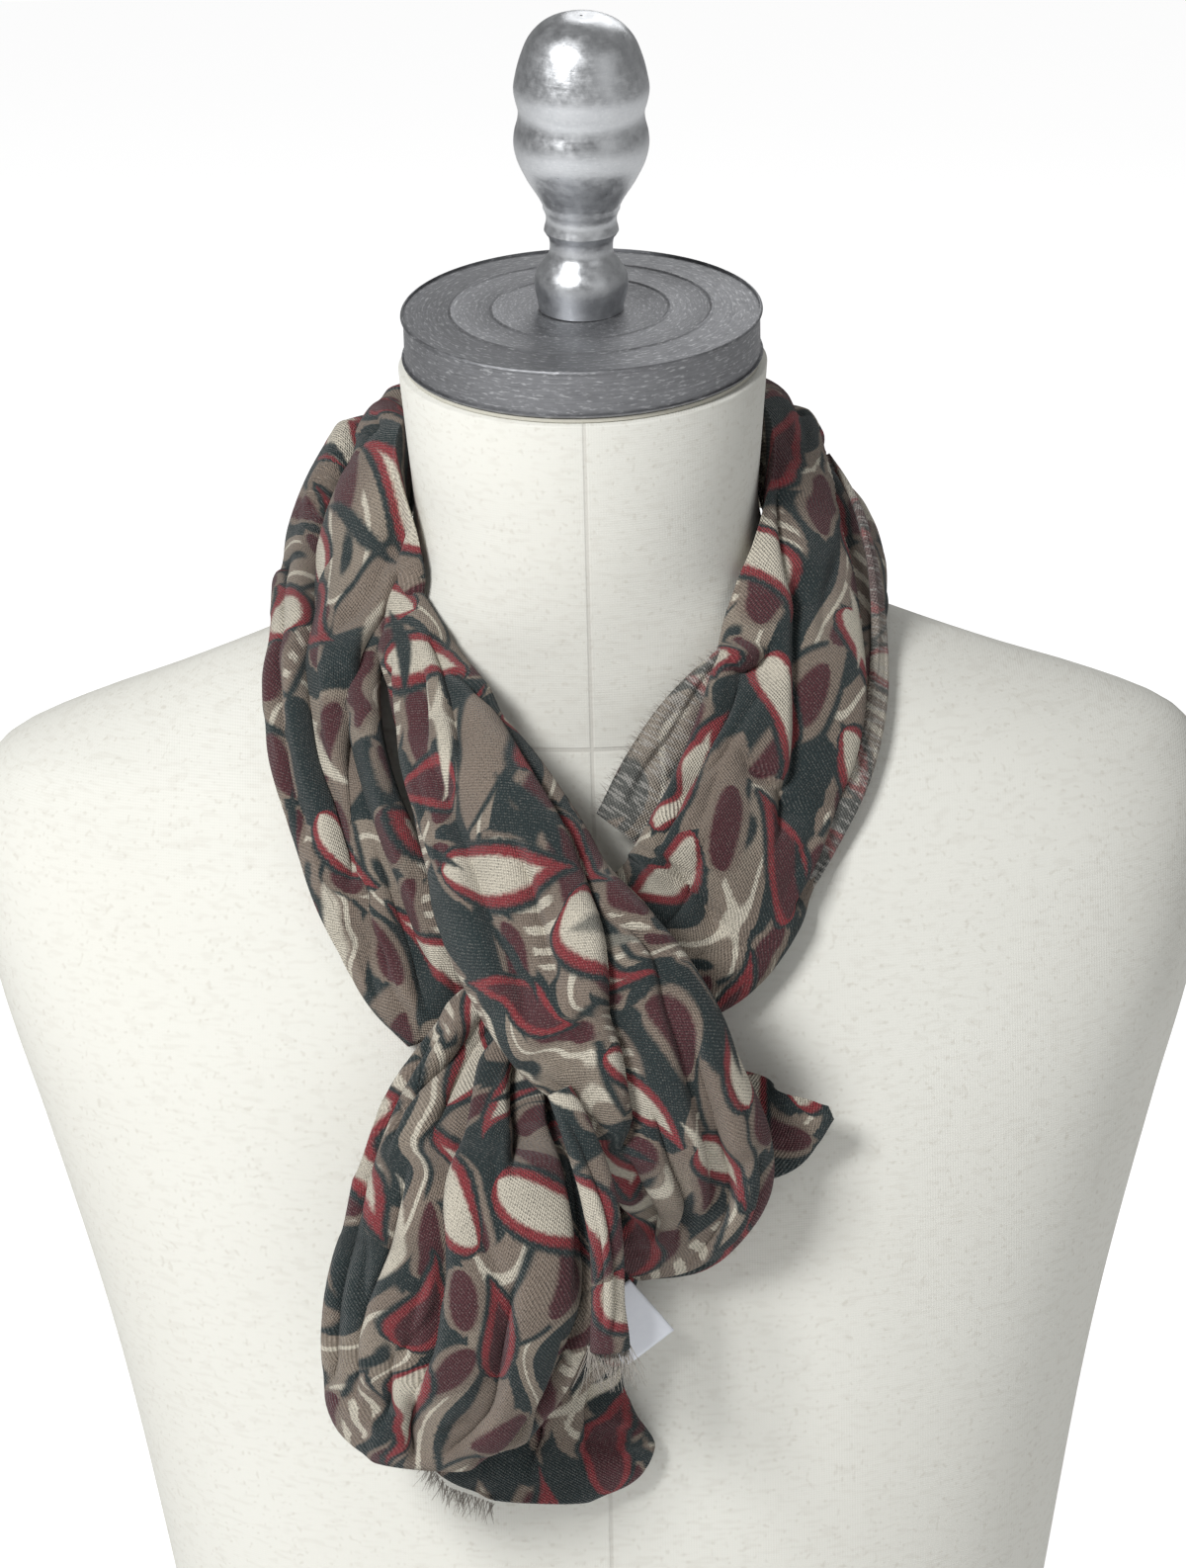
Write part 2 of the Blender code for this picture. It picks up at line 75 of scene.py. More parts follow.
class Shade:
    def __init__(self, name):
        self.material = bpy.data.materials.new(name)
        self.material.use_nodes = True
        self.tree = self.material.node_tree
        self.shader = self.tree.nodes["Principled BSDF"]

    def node(self, kind, inputs=None, **settings):
        made = self.tree.nodes.new(kind)
        for key, setting in settings.items():
            setattr(made, key, setting)
        for key, value in (inputs or {}).items():
            self.feed(made.inputs[key], value)
        return made

    def feed(self, socket, value):
        if isinstance(value, Value):
            self.tree.links.new(value.socket, socket)
        else:
            socket.default_value = value

    def math(self, operation, first, second=0.0):
        made = self.node("ShaderNodeMath", {0: first, 1: second}, operation=operation)
        return Value(self, made.outputs[0])

    def step(self, value, low, high):
        inputs = {"Value": value, "From Min": low, "From Max": high}
        made = self.node("ShaderNodeMapRange", inputs, interpolation_type="SMOOTHSTEP")
        return Value(self, made.outputs["Result"])

    def mix(self, factor, first, second):
        made = self.node("ShaderNodeMix", {"Factor": factor, 6: first, 7: second}, data_type="RGBA")
        return Value(self, made.outputs[2])

    def combine(self, x, y, z=0.0):
        return Value(self, self.node("ShaderNodeCombineXYZ", {0: x, 1: y, 2: z}).outputs[0])

    def waves(self, place, pitch):
        return self.math("SINE", place * (2 * math.pi / pitch))

    def size(self, value):
        return self.math("ABSOLUTE", value)

    def paint(self, sockets):
        for name, value in sockets.items():
            self.feed(self.shader.inputs[name], value)

    def noise(self, vector, scale, detail=2.0, roughness=0.5):
        inputs = {"Vector": vector, "Scale": scale, "Detail": detail, "Roughness": roughness}
        return Value(self, self.node("ShaderNodeTexNoise", inputs).outputs[0])

    def axes(self, vector):
        made = self.node("ShaderNodeSeparateXYZ", {0: vector})
        return [Value(self, made.outputs[k]) for k in range(3)]

    def map(self, name):
        return Value(self, self.node("ShaderNodeUVMap", uv_map=name).outputs[0])

    def place(self):
        return Value(self, self.node("ShaderNodeTexCoord").outputs["Object"])

    def bump(self, height, strength, distance):
        made = self.node("ShaderNodeBump", {"Height": height, "Strength": strength, "Distance": distance})
        self.feed(self.shader.inputs["Normal"], Value(self, made.outputs[0]))


# printed wool: leaves, drops, ovals and sprigs in a half-drop layout, on a fine twill
woolLook = {
    "green": rgb("192D30"),
    "burgundy": rgb("54222B"),
    "red": rgb("942F37"),
    "taupe": rgb("8D7E71"),
    "cream": rgb("DFD7C5"),
    "sand": rgb("9D9081"),
    "paleFibre": rgb("BDB8AF"),
    # the dark fibre, which is also the colour of the painted shade in the twill's valleys
    "darkFibreAndTwillShade": rgb("1B1D1E"),
    "floatColour": rgb("C9C6C0"),
    "twillPitch": 1.05 * mm,
    "twillSlope": 0.62,
    "grainPitch": 0.8 * mm,
    "grainSlope": 0.4,
    "stripePitch": 6.5 * mm,
    "speckle": 0.22,
    "paler": 0.24,
    "bleed": 0.4 * mm,
    "softEdge": 0.9 * mm,
    "bend": 30 * mm,
    "jitter": 0.22,
    "curl": 26.0,
    "roughness": 0.86,
    "specular": 0.25,
    "sheen": 0.12,
    "sheenRoughness": 0.5,
    "bump": 0.8,
    "bumpDepth": 0.36 * mm,
}
# each motif: cell across and along, turn of the lattice, length, half width, spread of turns, seed, and how
# sharp its foot and its tip are
motifLook = {
    "leaf": (45 * mm, 52 * mm, 0.30, 47 * mm, 9.0 * mm, 0.6, 3.0, 0.9, 0.9),
    "oval": (32 * mm, 27 * mm, 0.15, 22 * mm, 5.0 * mm, 0.6, 11.0, 0.42, 0.5),
    "drop": (38 * mm, 44 * mm, -0.40, 39 * mm, 9.2 * mm, 0.7, 23.0, 0.5, 1.25),
    "sprig": (33 * mm, 42 * mm, -0.2, 34 * mm, 2.6 * mm, 0.9, 37.0, 1.0, 1.0),
}


# the distance inside a motif's edge, in metres, and two random numbers of its own
def motif(shade, across, along, name):
    cellX, cellY, turn, length, half, spread, seed, foot, tip = motifLook[name]
    jitter = woolLook["jitter"]
    c, s = math.cos(turn), math.sin(turn)
    x = across * c - along * s
    y = across * s + along * c
    column = shade.math("FLOOR", x / cellX)
    y = y + shade.math("MODULO", shade.size(column), 2.0) * (cellY / 2)
    row = shade.math("FLOOR", y / cellY)
    cell = shade.combine(column + seed, row, seed * 1.7)
    chance = shade.node("ShaderNodeTexWhiteNoise", {"Vector": cell})
    pick = Value(shade, chance.outputs["Value"])
    first, second, third = shade.axes(Value(shade, chance.outputs["Color"]))
    x = x - (column + 0.5) * cellX + (first - 0.5) * (cellX * jitter)
    y = y - (row + 0.5) * cellY + (second - 0.5) * (cellY * jitter)
    angle = (third - 0.5) * (2 * spread) + shade.math("ROUND", pick) * math.pi
    inputs = {"Vector": shade.combine(x, y), "Angle": angle}
    turned = shade.node("ShaderNodeVectorRotate", inputs, rotation_type="Z_AXIS")
    x, y, _ = shade.axes(Value(shade, turned.outputs[0]))
    x = x + y * y * ((first - 0.5) * woolLook["curl"])
    t = shade.math("MAXIMUM", shade.math("MINIMUM", y / length + 0.5, 1.0), 0.0)
    peak = (foot / (foot + tip)) ** foot * (tip / (foot + tip)) ** tip
    profile = (t ** foot) * ((1.0 - t) ** tip) * (half / peak)
    past = shade.math("MAXIMUM", shade.size(y) - length / 2, 0.0)
    return profile - shade.size(x) - past, first, second


def makeWool(name, paler=0.0):
    look = woolLook
    shade = Shade(name)
    place = shade.map("cloth")
    plainAcross, plainAlong, _ = shade.axes(place)
    slow = shade.noise(place, 20.0, 0.0)
    slow2 = shade.noise(shade.combine(plainAlong, plainAcross, 3.1), 18.0, 0.0)
    blur = (shade.noise(place, 800.0, 0.0) - 0.5) * (look["bleed"] * 2)
    across = plainAcross + (slow - 0.5) * look["bend"] + blur
    along = plainAlong + (slow2 - 0.5) * look["bend"] + blur

    def within(depth, edge=0.0):
        return shade.step(depth, edge - look["softEdge"], edge + look["softEdge"])

    # the ground, in sand and taupe with green shapes and thin cream lines
    bands = shade.noise(shade.combine(across, along * 0.6, 5.0), 30.0, 0.0)
    bands = shade.size(bands - 0.5)
    ground = shade.mix(shade.step(slow2, 0.40, 0.56), look["taupe"], look["sand"])
    colour = shade.mix(shade.step(bands, 0.060, 0.070), ground, look["green"])
    colour = shade.mix(shade.step(bands, 0.014, 0.007), colour, look["cream"])

    leaf, leafPick, _ = motif(shade, across, along, "leaf")
    colour = shade.mix(within(leaf, -2.4 * mm), colour, look["green"])
    colour = shade.mix(within(leaf), colour, look["taupe"])
    stripes = shade.step(shade.waves(across * 0.5 + along, look["stripePitch"]), 0.1, 0.5)
    striped = within(leaf, 1.6 * mm) * stripes * shade.step(leafPick, 0.5, 0.52)
    colour = shade.mix(striped, colour, look["cream"])

    oval, _, ovalPick = motif(shade, across, along, "oval")
    keep = shade.step(ovalPick, 0.16, 0.17)
    colour = shade.mix(within(oval, -2.6 * mm) * keep, colour, look["taupe"])
    colour = shade.mix(within(oval) * keep, colour, look["burgundy"])

    drop, corePick, dropPick = motif(shade, across, along, "drop")
    keep = shade.step(dropPick, 0.12, 0.13)
    colour = shade.mix(within(drop, -2.2 * mm) * keep, colour, look["green"])
    colour = shade.mix(within(drop) * keep, colour, look["red"])
    core = shade.mix(shade.step(corePick, 0.72, 0.73), look["cream"], look["burgundy"])
    colour = shade.mix(within(drop, 3.1 * mm) * keep, colour, core)

    sprig, tonePick, sprigPick = motif(shade, across, along, "sprig")
    keep = shade.step(sprigPick, 0.45, 0.46)
    tone = shade.mix(shade.step(tonePick, 0.5, 0.51), look["cream"], look["green"])
    colour = shade.mix(within(sprig) * keep, colour, tone)

    # twill lines, specks of lighter and darker fibre, painted shade between the twill lines, and a slow
    # unevenness of the dye
    lines = shade.waves(plainAlong + plainAcross * look["twillSlope"], look["twillPitch"])
    grains = shade.waves(plainAcross - plainAlong * look["grainSlope"], look["grainPitch"])
    fibre = shade.noise(place, 1900.0, 0.0)
    wash = shade.noise(place, 60.0, 1.0)
    ridge = shade.step(lines + grains * 0.4, -0.6, 1.0)
    pale = shade.step(fibre, 0.44, 0.74) * ridge * look["speckle"]
    colour = shade.mix(pale + 0.02 + paler, colour, look["paleFibre"])
    if paler:
        floats = shade.noise(shade.combine(plainAcross * 0.16, plainAlong, 2.0), 900.0, 0.0)
        colour = shade.mix(shade.step(floats, 0.50, 0.66) * 0.55, colour, look["floatColour"])
    # darker fibre specks and dye unevenness, with painted shade in the twill's valleys where the bump is
    # low
    dark = shade.step(fibre, 0.48, 0.28) * 0.35 + (1.0 - ridge) * 0.26 + (wash - 0.5) * 0.3
    colour = shade.mix(shade.math("MAXIMUM", dark, 0.0), colour, look["darkFibreAndTwillShade"])
    shade.paint({"Base Color": colour, "Roughness": look["roughness"]})
    shade.paint({"Specular IOR Level": look["specular"]})
    shade.paint({"Sheen Weight": look["sheen"], "Sheen Roughness": look["sheenRoughness"]})
    shade.bump(lines * 0.8 + grains * 0.4 + fibre, look["bump"], look["bumpDepth"])
    return shade.material


# off-white calico: a plain weave with slubs, and the seams of the neck and the centre front and back
calicoLook = {
    "light": rgb("E4E4DD"),
    "shade": rgb("DBDAD2"),
    "slub": rgb("C9C5BB"),
    "fleck": rgb("B4AD9F"),
    "seam": rgb("A8A39B"),
    "warpPitch": 0.85 * mm,
    "weftPitch": 0.8 * mm,
    "seamWidth": (0.9 * mm, 0.35 * mm),
    "neckSeam": 0.549,
    "neckSlope": 0.6,
    "roughness": 0.85,
    "specular": 0.25,
    "bump": 0.34,
    "bumpDepth": 0.25 * mm,
}


def makeCalico():
    look = calicoLook
    shade = Shade("calico")
    place = shade.place()
    x, y, z = shade.axes(place)
    warp = shade.waves(x, look["warpPitch"])
    weft = shade.waves(z, look["weftPitch"])
    slub = shade.noise(shade.combine(x * 0.3, y * 0.3, z), 640.0, 0.0)
    fleck = shade.noise(place, 620.0, 0.0)
    cloud = shade.noise(place, 9.0, 1.0)
    front = shade.step(shade.size(x), *look["seamWidth"])
    neck = shade.step(shade.size(z - y * look["neckSlope"] - look["neckSeam"]), *look["seamWidth"])
    seam = shade.math("MAXIMUM", front, neck)
    colour = shade.mix(cloud, look["light"], look["shade"])
    colour = shade.mix(shade.step(slub, 0.50, 0.74) * 0.22 + warp * weft * 0.10, colour, look["slub"])
    colour = shade.mix(shade.step(fleck, 0.66, 0.80) * 0.24, colour, look["fleck"])
    colour = shade.mix(seam * 0.3, colour, look["seam"])
    shade.paint({"Base Color": colour, "Roughness": look["roughness"]})
    shade.paint({"Specular IOR Level": look["specular"]})
    height = (warp + weft) * 0.14 + slub * 0.6 - seam * 2.5
    shade.bump(height, look["bump"], look["bumpDepth"])
    return shade.material


# satin steel: faint lines run round it, over the soft mottling of the metal
steelLook = {
    "brushed_top": {"dark": rgb("58595C"), "light": rgb("ACADB0"), "mottle": 0.4, "roughness": 0.58},
    "turned_finial": {"dark": rgb("B0B3B7"), "light": rgb("EBEDEF"), "mottle": 0.7, "roughness": 0.38},
    "marks": rgb("E6E7E9"),
    "bump": 0.2,
    "bumpDepth": 0.25 * mm,
}


def makeSteel(name):
    look = steelLook[name]
    mottle = look["mottle"]
    shade = Shade(name)
    u, v, _ = shade.axes(shade.map("turned"))
    rings = shade.noise(shade.combine(u * 3.5, v * 1500.0), 1.0, 2.0, 0.6)
    cloud = shade.noise(shade.place(), 300.0, 3.0, 0.6)
    marks = shade.noise(shade.combine(u * 9.0, v * 700.0), 1.6, 2.0, 0.7)
    colour = shade.mix(cloud * mottle + rings * (1.0 - mottle), look["dark"], look["light"])
    colour = shade.mix(shade.step(marks, 0.52, 0.72) * 0.45, colour, steelLook["marks"])
    dull = (cloud - 0.5) * 0.4 + (rings - 0.5) * 0.1 + look["roughness"]
    shade.paint({"Base Color": colour, "Roughness": dull, "Metallic": 1.0})
    height = rings * 0.5 + cloud * (2.6 * mottle)
    shade.bump(height, steelLook["bump"], steelLook["bumpDepth"])
    return shade.material


# two colours, the scale of the grain between them, roughness and bump
plainLook = {
    "felt_look": ("C9C7BC", "B5B2A6", 900.0, 0.95, 0.2),
    "board_look": ("8A6A4A", "6F5238", 40.0, 0.6, 0.2),
    "satin_look": ("E9ECF2", "DDE1EA", 500.0, 0.4, 0.08),
    "yarn_look": ("C4BEB4", "77706B", 260.0, 0.9, 0.0),
}


def makePlain(name):
    first, second, scale, roughness, bump = plainLook[name]
    shade = Shade(name)
    grain = shade.noise(shade.place(), scale, 4.0, 0.6)
    shade.paint({"Base Color": shade.mix(grain, rgb(first), rgb(second)), "Roughness": roughness})
    shade.bump(grain, bump, 0.3 * mm)
    return shade.material


# the form's outline: height, half width, front, back and roundness, in millimetres
formRows = (
    (15, 144, -102, 92, 2.3), (60, 138, -98, 86, 2.3), (110, 136, -97, 82, 2.3),
    (200, 150, -108, 90, 2.4), (309, 170, -114, 99, 2.5), (377, 188.5, -109, 105, 2.5),
    (420, 201.5, -100, 106, 2.5), (450, 208, -90, 103, 2.4), (475, 209, -80, 98, 2.3),
    (488, 205, -72, 93, 2.2), (499, 196, -66, 86, 2.1), (510, 174, -62, 78, 1.9),
    (521, 145, -61, 71, 1.75), (533, 115, -61, 65, 1.65), (543, 91, -61.5, 60, 1.7),
    (552, 73, -62.5, 56, 1.85), (562, 62, -64, 53, 1.95), (575, 57.5, -66, 51, 2),
    (600, 57.5, -69, 48, 2),
)
formTable = np.array(formRows, float)
# the cap, its felt and the finial; under: how far the lower face goes in and up; turns: steps of the spin
capLook = {
    "lean": 6.4, "askew": 1.3, "topY": -14, "topZ": 647.7, "radius": 59, "thick": 16, "edge": 0.9,
    "under": (3, 0.2), "ridges": (29, 42.6), "ridgeHigh": 0.45, "ridgeHalf": 1.1, "hub": 14.5, "pole": 0.5,
    "felt": 1.2, "feltRadius": 58, "gap": 0.4, "lift": 0.35, "tip": 0.3, "turns": 128, "sharp": 34,
}
# the finial's profile: height and radius
finialRows = (
    (0, 13.8), (9.7, 15.2), (11.7, 14.9), (15.6, 12.7), (18.6, 10.6), (22.5, 10.3), (25, 10.9),
    (26, 11.9), (27.2, 12.2), (28.2, 11.8), (33, 12), (33.8, 12.5), (35, 12.5), (36.2, 13), (45.1, 18.2),
    (52, 21.2), (56, 21.9), (60, 21.6), (64, 20.6), (67, 20.4), (70, 21.2), (74, 21.9), (79, 21.2),
    (85, 19.6), (91, 17), (95.5, 12.8), (98, 7.4), (98.4, 0.5),
)
# neckRings: half width of the last two rings, and how far they lie below the felt
torsoLook = {
    "foot": 15, "footInset": 3, "top": 590, "rings": 150, "around": 145,
    "neckMiddle": -12.9, "neckDeep": 58.9, "neckRings": ((60.2, 0.6), (59.8, 0)),
}


# a smooth reading of a table's columns at chosen places
def smoothRead(table, at, where):
    table = np.array(table, float)
    at = np.array(at, float)
    slope = np.gradient(table, at, axis=0)
    i = np.clip(np.searchsorted(at, where, side="right") - 1, 0, len(at) - 2)
    span = (at[i + 1] - at[i])[:, None]
    t = ((where - at[i]) / span[:, 0])[:, None]
    first = (2 * t**3 - 3 * t**2 + 1) * table[i] + (t**3 - 2 * t**2 + t) * span * slope[i]
    last = (3 * t**2 - 2 * t**3) * table[i + 1] + (t**3 - t**2) * span * slope[i + 1]
    return first + last


fineZ = np.linspace(15, 600, 240)
fineForm = smoothRead(formTable[:, 1:], formTable[:, 0], fineZ)


# a power that keeps the sign, for outlines rounder or squarer than an ellipse
def signedPower(value, power):
    return np.sign(value) * np.abs(value) ** power


# less than 1 inside the form, 1 on it, and more outside
def formRatio(points):
    half, front, back, power = [np.interp(points[:, 2], fineZ, fineForm[:, k]) for k in range(4)]
    middle, deep = (front + back) / 2, (back - front) / 2
    side = np.abs(points[:, 0] / half) ** power
    return (side + np.abs((points[:, 1] - middle) / deep) ** power) ** (1 / power)


# points that are too near the form move off it, square to it or within a section
def standClear(points, clear, along=None, rounds=14, most=5):
    points = points.copy()
    for _ in range(rounds):
        ratio = formRatio(points)
        slope = [formRatio(points + 0.5 * e) - formRatio(points - 0.5 * e) for e in np.eye(3)]
        slope = np.stack(slope, axis=1)
        steep = np.maximum(np.linalg.norm(slope, axis=1), 1e-6)
        need = np.clip(clear - (ratio - 1) / steep, 0, most)
        way = slope / steep[:, None]
        if along is not None:
            way = way - (way * along).sum(axis=1)[:, None] * along
            way /= np.maximum((way**2).sum(axis=1), 0.3)[:, None]
        points += way * need[:, None]
    return points


def addPiece(name, bm, material, smooth=True):
    mesh = bpy.data.meshes.new(name)
    bm.to_mesh(mesh)
    bm.free()
    if smooth:
        mesh.shade_smooth()
    mesh.materials.append(material)
    obj = bpy.data.objects.new(name, mesh)
    bpy.context.scene.collection.objects.link(obj)
    return obj


# a sheet through a grid of points in millimetres; closed joins its last column to its first
def gridPiece(name, grid, uv, material, closed=False):
    rows, columns = grid.shape[:2]
    bm = bmesh.new()
    layer = bm.loops.layers.uv.new("cloth")
    bmesh.ops.create_grid(bm, x_segments=columns - 1, y_segments=rows - 1, size=0.5)
    bm.verts.ensure_lookup_table()
    spots = {}
    for vert in bm.verts:
        spots[vert] = (round((vert.co.y + 0.5) * (rows - 1)), round((vert.co.x + 0.5) * (columns - 1)))
    for vert, (i, j) in spots.items():
        vert.co = Vector(grid[i, j].tolist()) * mm
    for face in bm.faces:
        for loop in face.loops:
            i, j = spots[loop.vert]
            loop[layer].uv = uv[i, j].tolist()
    if closed:
        bmesh.ops.remove_doubles(bm, verts=list(bm.verts), dist=1e-7)
    return addPiece(name, bm, material)


def shrunk(ring, share):
    middle = ring.mean(axis=0)
    return middle + (ring - middle) * share


def makeTorso(material):
    look = torsoLook
    heights = np.linspace(look["foot"] + 0.5, look["top"], look["rings"])
    heights = np.concatenate([[look["foot"]] * 2, heights])
    rows = np.column_stack([heights, smoothRead(formTable[:, 1:], formTable[:, 0], heights)])
    rows[0, 1:4] -= np.array([1, -1, 1]) * look["footInset"]
    angle = np.linspace(0, 2 * math.pi, look["around"])
    rings = []
    for z, half, front, back, power in rows:
        side = signedPower(np.cos(angle), 2 / power)
        deep = (front + back) / 2 + (back - front) / 2 * signedPower(np.sin(angle), 2 / power)
        rings.append(np.stack([half * side, deep, np.full(len(angle), z)], axis=1))
    # the last rings lie in the leaning plane under the felt
    lean = math.radians(capLook["lean"])
    below = capLook["thick"] + capLook["felt"] + 2 * capLook["gap"]
    underY = capLook["topY"] + below * math.sin(lean)
    underZ = capLook["topZ"] - below * math.cos(lean)
    for half, lower in look["neckRings"]:
        deep = look["neckMiddle"] + look["neckDeep"] * np.sin(angle)
        height = underZ + (deep - underY) * math.tan(lean) - lower
        rings.append(np.stack([np.cos(angle) * half, deep, height], axis=1))
    rings = [shrunk(rings[0], 0.01)] + rings + [shrunk(rings[-1], 0.5), shrunk(rings[-1], 0.01)]
    grid = np.array(rings)
    torso = gridPiece("form_body", grid, np.zeros(grid.shape[:2] + (2,)), material, closed=True)
    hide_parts("form_torso")
    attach(torso, "root")


# a turned piece: the profile spins round the cap's leaning axis
def makeTurned(name, profile, material, askew, replaced):
    bm = bmesh.new()
    verts = [bm.verts.new((radius * mm, 0, height * mm)) for height, radius in profile]
    for first, second in zip(verts, verts[1:]):
        bm.edges.new((first, second))
    outline = bm.verts[:] + bm.edges[:]
    around = {"cent": (0, 0, 0), "axis": (0, 0, 1), "angle": 2 * math.pi}
    bmesh.ops.spin(bm, geom=outline, steps=capLook["turns"], use_merge=True, **around)
    bmesh.ops.recalc_face_normals(bm, faces=bm.faces)
    layer = bm.loops.layers.uv.new("turned")
    lengths = np.cumsum([0] + [math.dist(a, b) for a, b in zip(profile, profile[1:])])
    for face in bm.faces:
        middle = face.calc_center_median()
        centre = math.atan2(middle.y, middle.x)
        for loop in face.loops:
            co = loop.vert.co
            angle = math.atan2(co.y, co.x)
            if centre - angle > math.pi:
                angle += 2 * math.pi
            if angle - centre > math.pi:
                angle -= 2 * math.pi
            radius = math.hypot(co.x, co.y) / mm
            gaps = [abs(h - co.z / mm) + abs(r - radius) for h, r in profile]
            loop[layer].uv = (angle, lengths[gaps.index(min(gaps))] * mm)
    lean = Matrix.Rotation(math.radians(capLook["lean"]), 4, "X")
    turn = lean @ Matrix.Rotation(math.radians(askew), 4, "Y")
    move = Matrix.Translation(Vector((0, capLook["topY"], capLook["topZ"])) * mm)
    bmesh.ops.transform(bm, matrix=move @ turn, verts=bm.verts)
    piece = addPiece(name, bm, material)
    piece.data.set_sharp_from_angle(angle=math.radians(capLook["sharp"]))
    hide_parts(replaced)
    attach(piece, "root")
    return piece


def roundedProfile(rows, steps):
    rows = np.array(rows, float)
    at = lengthsAlong(rows)
    fine = np.linspace(0, at[-1], steps)
    read = smoothRead(rows, at, fine)
    read[:, 1] = np.maximum(read[:, 1], capLook["tip"])
    return [tuple(row) for row in read.tolist()]


def makeTop(steel, polished, felt):
    look = capLook
    radius, pole = look["radius"], look["pole"]
    bend = [(1 - math.sin(a), 1 - math.cos(a)) for a in np.linspace(0, math.pi / 2, 5)]
    edge = [(look["edge"] * high, look["edge"] * inward) for high, inward in bend]
    inset, dish = look["under"]
    profile = [(-look["thick"] + dish, pole), (-look["thick"], radius - inset)]
    profile += [(-look["thick"] + h, radius - r) for h, r in edge]
    profile += [(-h, radius - r) for h, r in reversed(edge)]
    for ridge in sorted(look["ridges"], reverse=True):
        for a in np.linspace(-1, 1, 9):
            high = look["ridgeHigh"] * math.cos(a * math.pi / 2) ** 2
            profile.append((high, ridge - a * look["ridgeHalf"]))
    profile += [(0, look["hub"]), (0, pole)]
    cap = makeTurned("cap", profile, steel, 0, "form_cap")
    top = -look["thick"] - look["gap"]
    low, wide = top - look["felt"], look["feltRadius"]
    profile = [(low, pole), (low, wide), (top, wide), (top, pole)]
    ring = makeTurned("felt_ring", profile, felt, 0, "form_felt")
    profile = roundedProfile([(h + look["lift"], r) for h, r in finialRows], 90)
    profile = [(look["lift"], pole)] + profile
    finial = makeTurned("finial", profile, polished, look["askew"], "form_finial")


# bands: x, y, z of a section's centre, half breadth, half thickness, where its front looks, and its lift
longRows = (
    (-51, -103, 432, 12, 5, -6, 10), (-58, -101, 446, 17, 7.5, -14, 14),
    (-66, -94, 464, 20, 9.5, -22, 18), (-74.5, -86, 483, 21, 10.5, -28, 22),
    (-81.5, -74, 501, 20.5, 11, -34, 26), (-86.5, -61, 519, 22, 12, -40, 32),
    (-86.5, -45, 537, 24, 13, -46, 37), (-79, -26, 554.5, 32, 13.5, -50, 40),
    (-76, -4, 571, 37.5, 14, -66, 38), (-79, 17, 577, 36, 14.5, -90, 32),
    (-76, 38, 580, 32, 15, -116, 28), (-57.5, 60, 583, 29.5, 14, -140, 28),
    (-30, 73, 585, 29, 13.5, -162, 28), (0, 78, 586, 29, 13.5, -180, 28),
    (30, 73, 585, 29, 13.5, -198, 28), (57, 60, 583, 29.5, 13.5, -220, 28),
    (73, 38, 579.5, 33, 13.5, -244, 29), (75.5, 13, 575.5, 38.5, 13.5, -268, 33),
    (74.5, -12, 563, 33.5, 13, -292, 36), (70.5, -36, 548.5, 29.5, 12.5, -314, 36),
    (66.5, -57, 528, 30, 11.5, -326, 36), (58, -72, 508, 30.5, 11, -331, 32),
    (45, -88, 484.5, 31, 10.5, -335, 27), (30, -98, 464, 30, 10, -340, 20),
    (12.5, -103.5, 455, 26.5, 9.5, -346, 14), (-6, -108, 449, 21, 9.5, -354, 10),
    (-21, -112, 440, 20, 10, -362, 8), (-33, -120, 428, 25, 10.5, -368, 6),
    (-40, -131, 412, 32, 16, -368, 4), (-41, -141, 395, 39, 20, -366, 2),
    (-42, -148, 373, 43, 21, -364, 0), (-49, -150, 347, 43, 21, -362, 0),
    (-55, -150, 326, 38, 18, -360, 0), (-59, -150, 310, 29, 14, -360, -4),
    (-60, -151, 302, 18, 9, -360, -8),
)
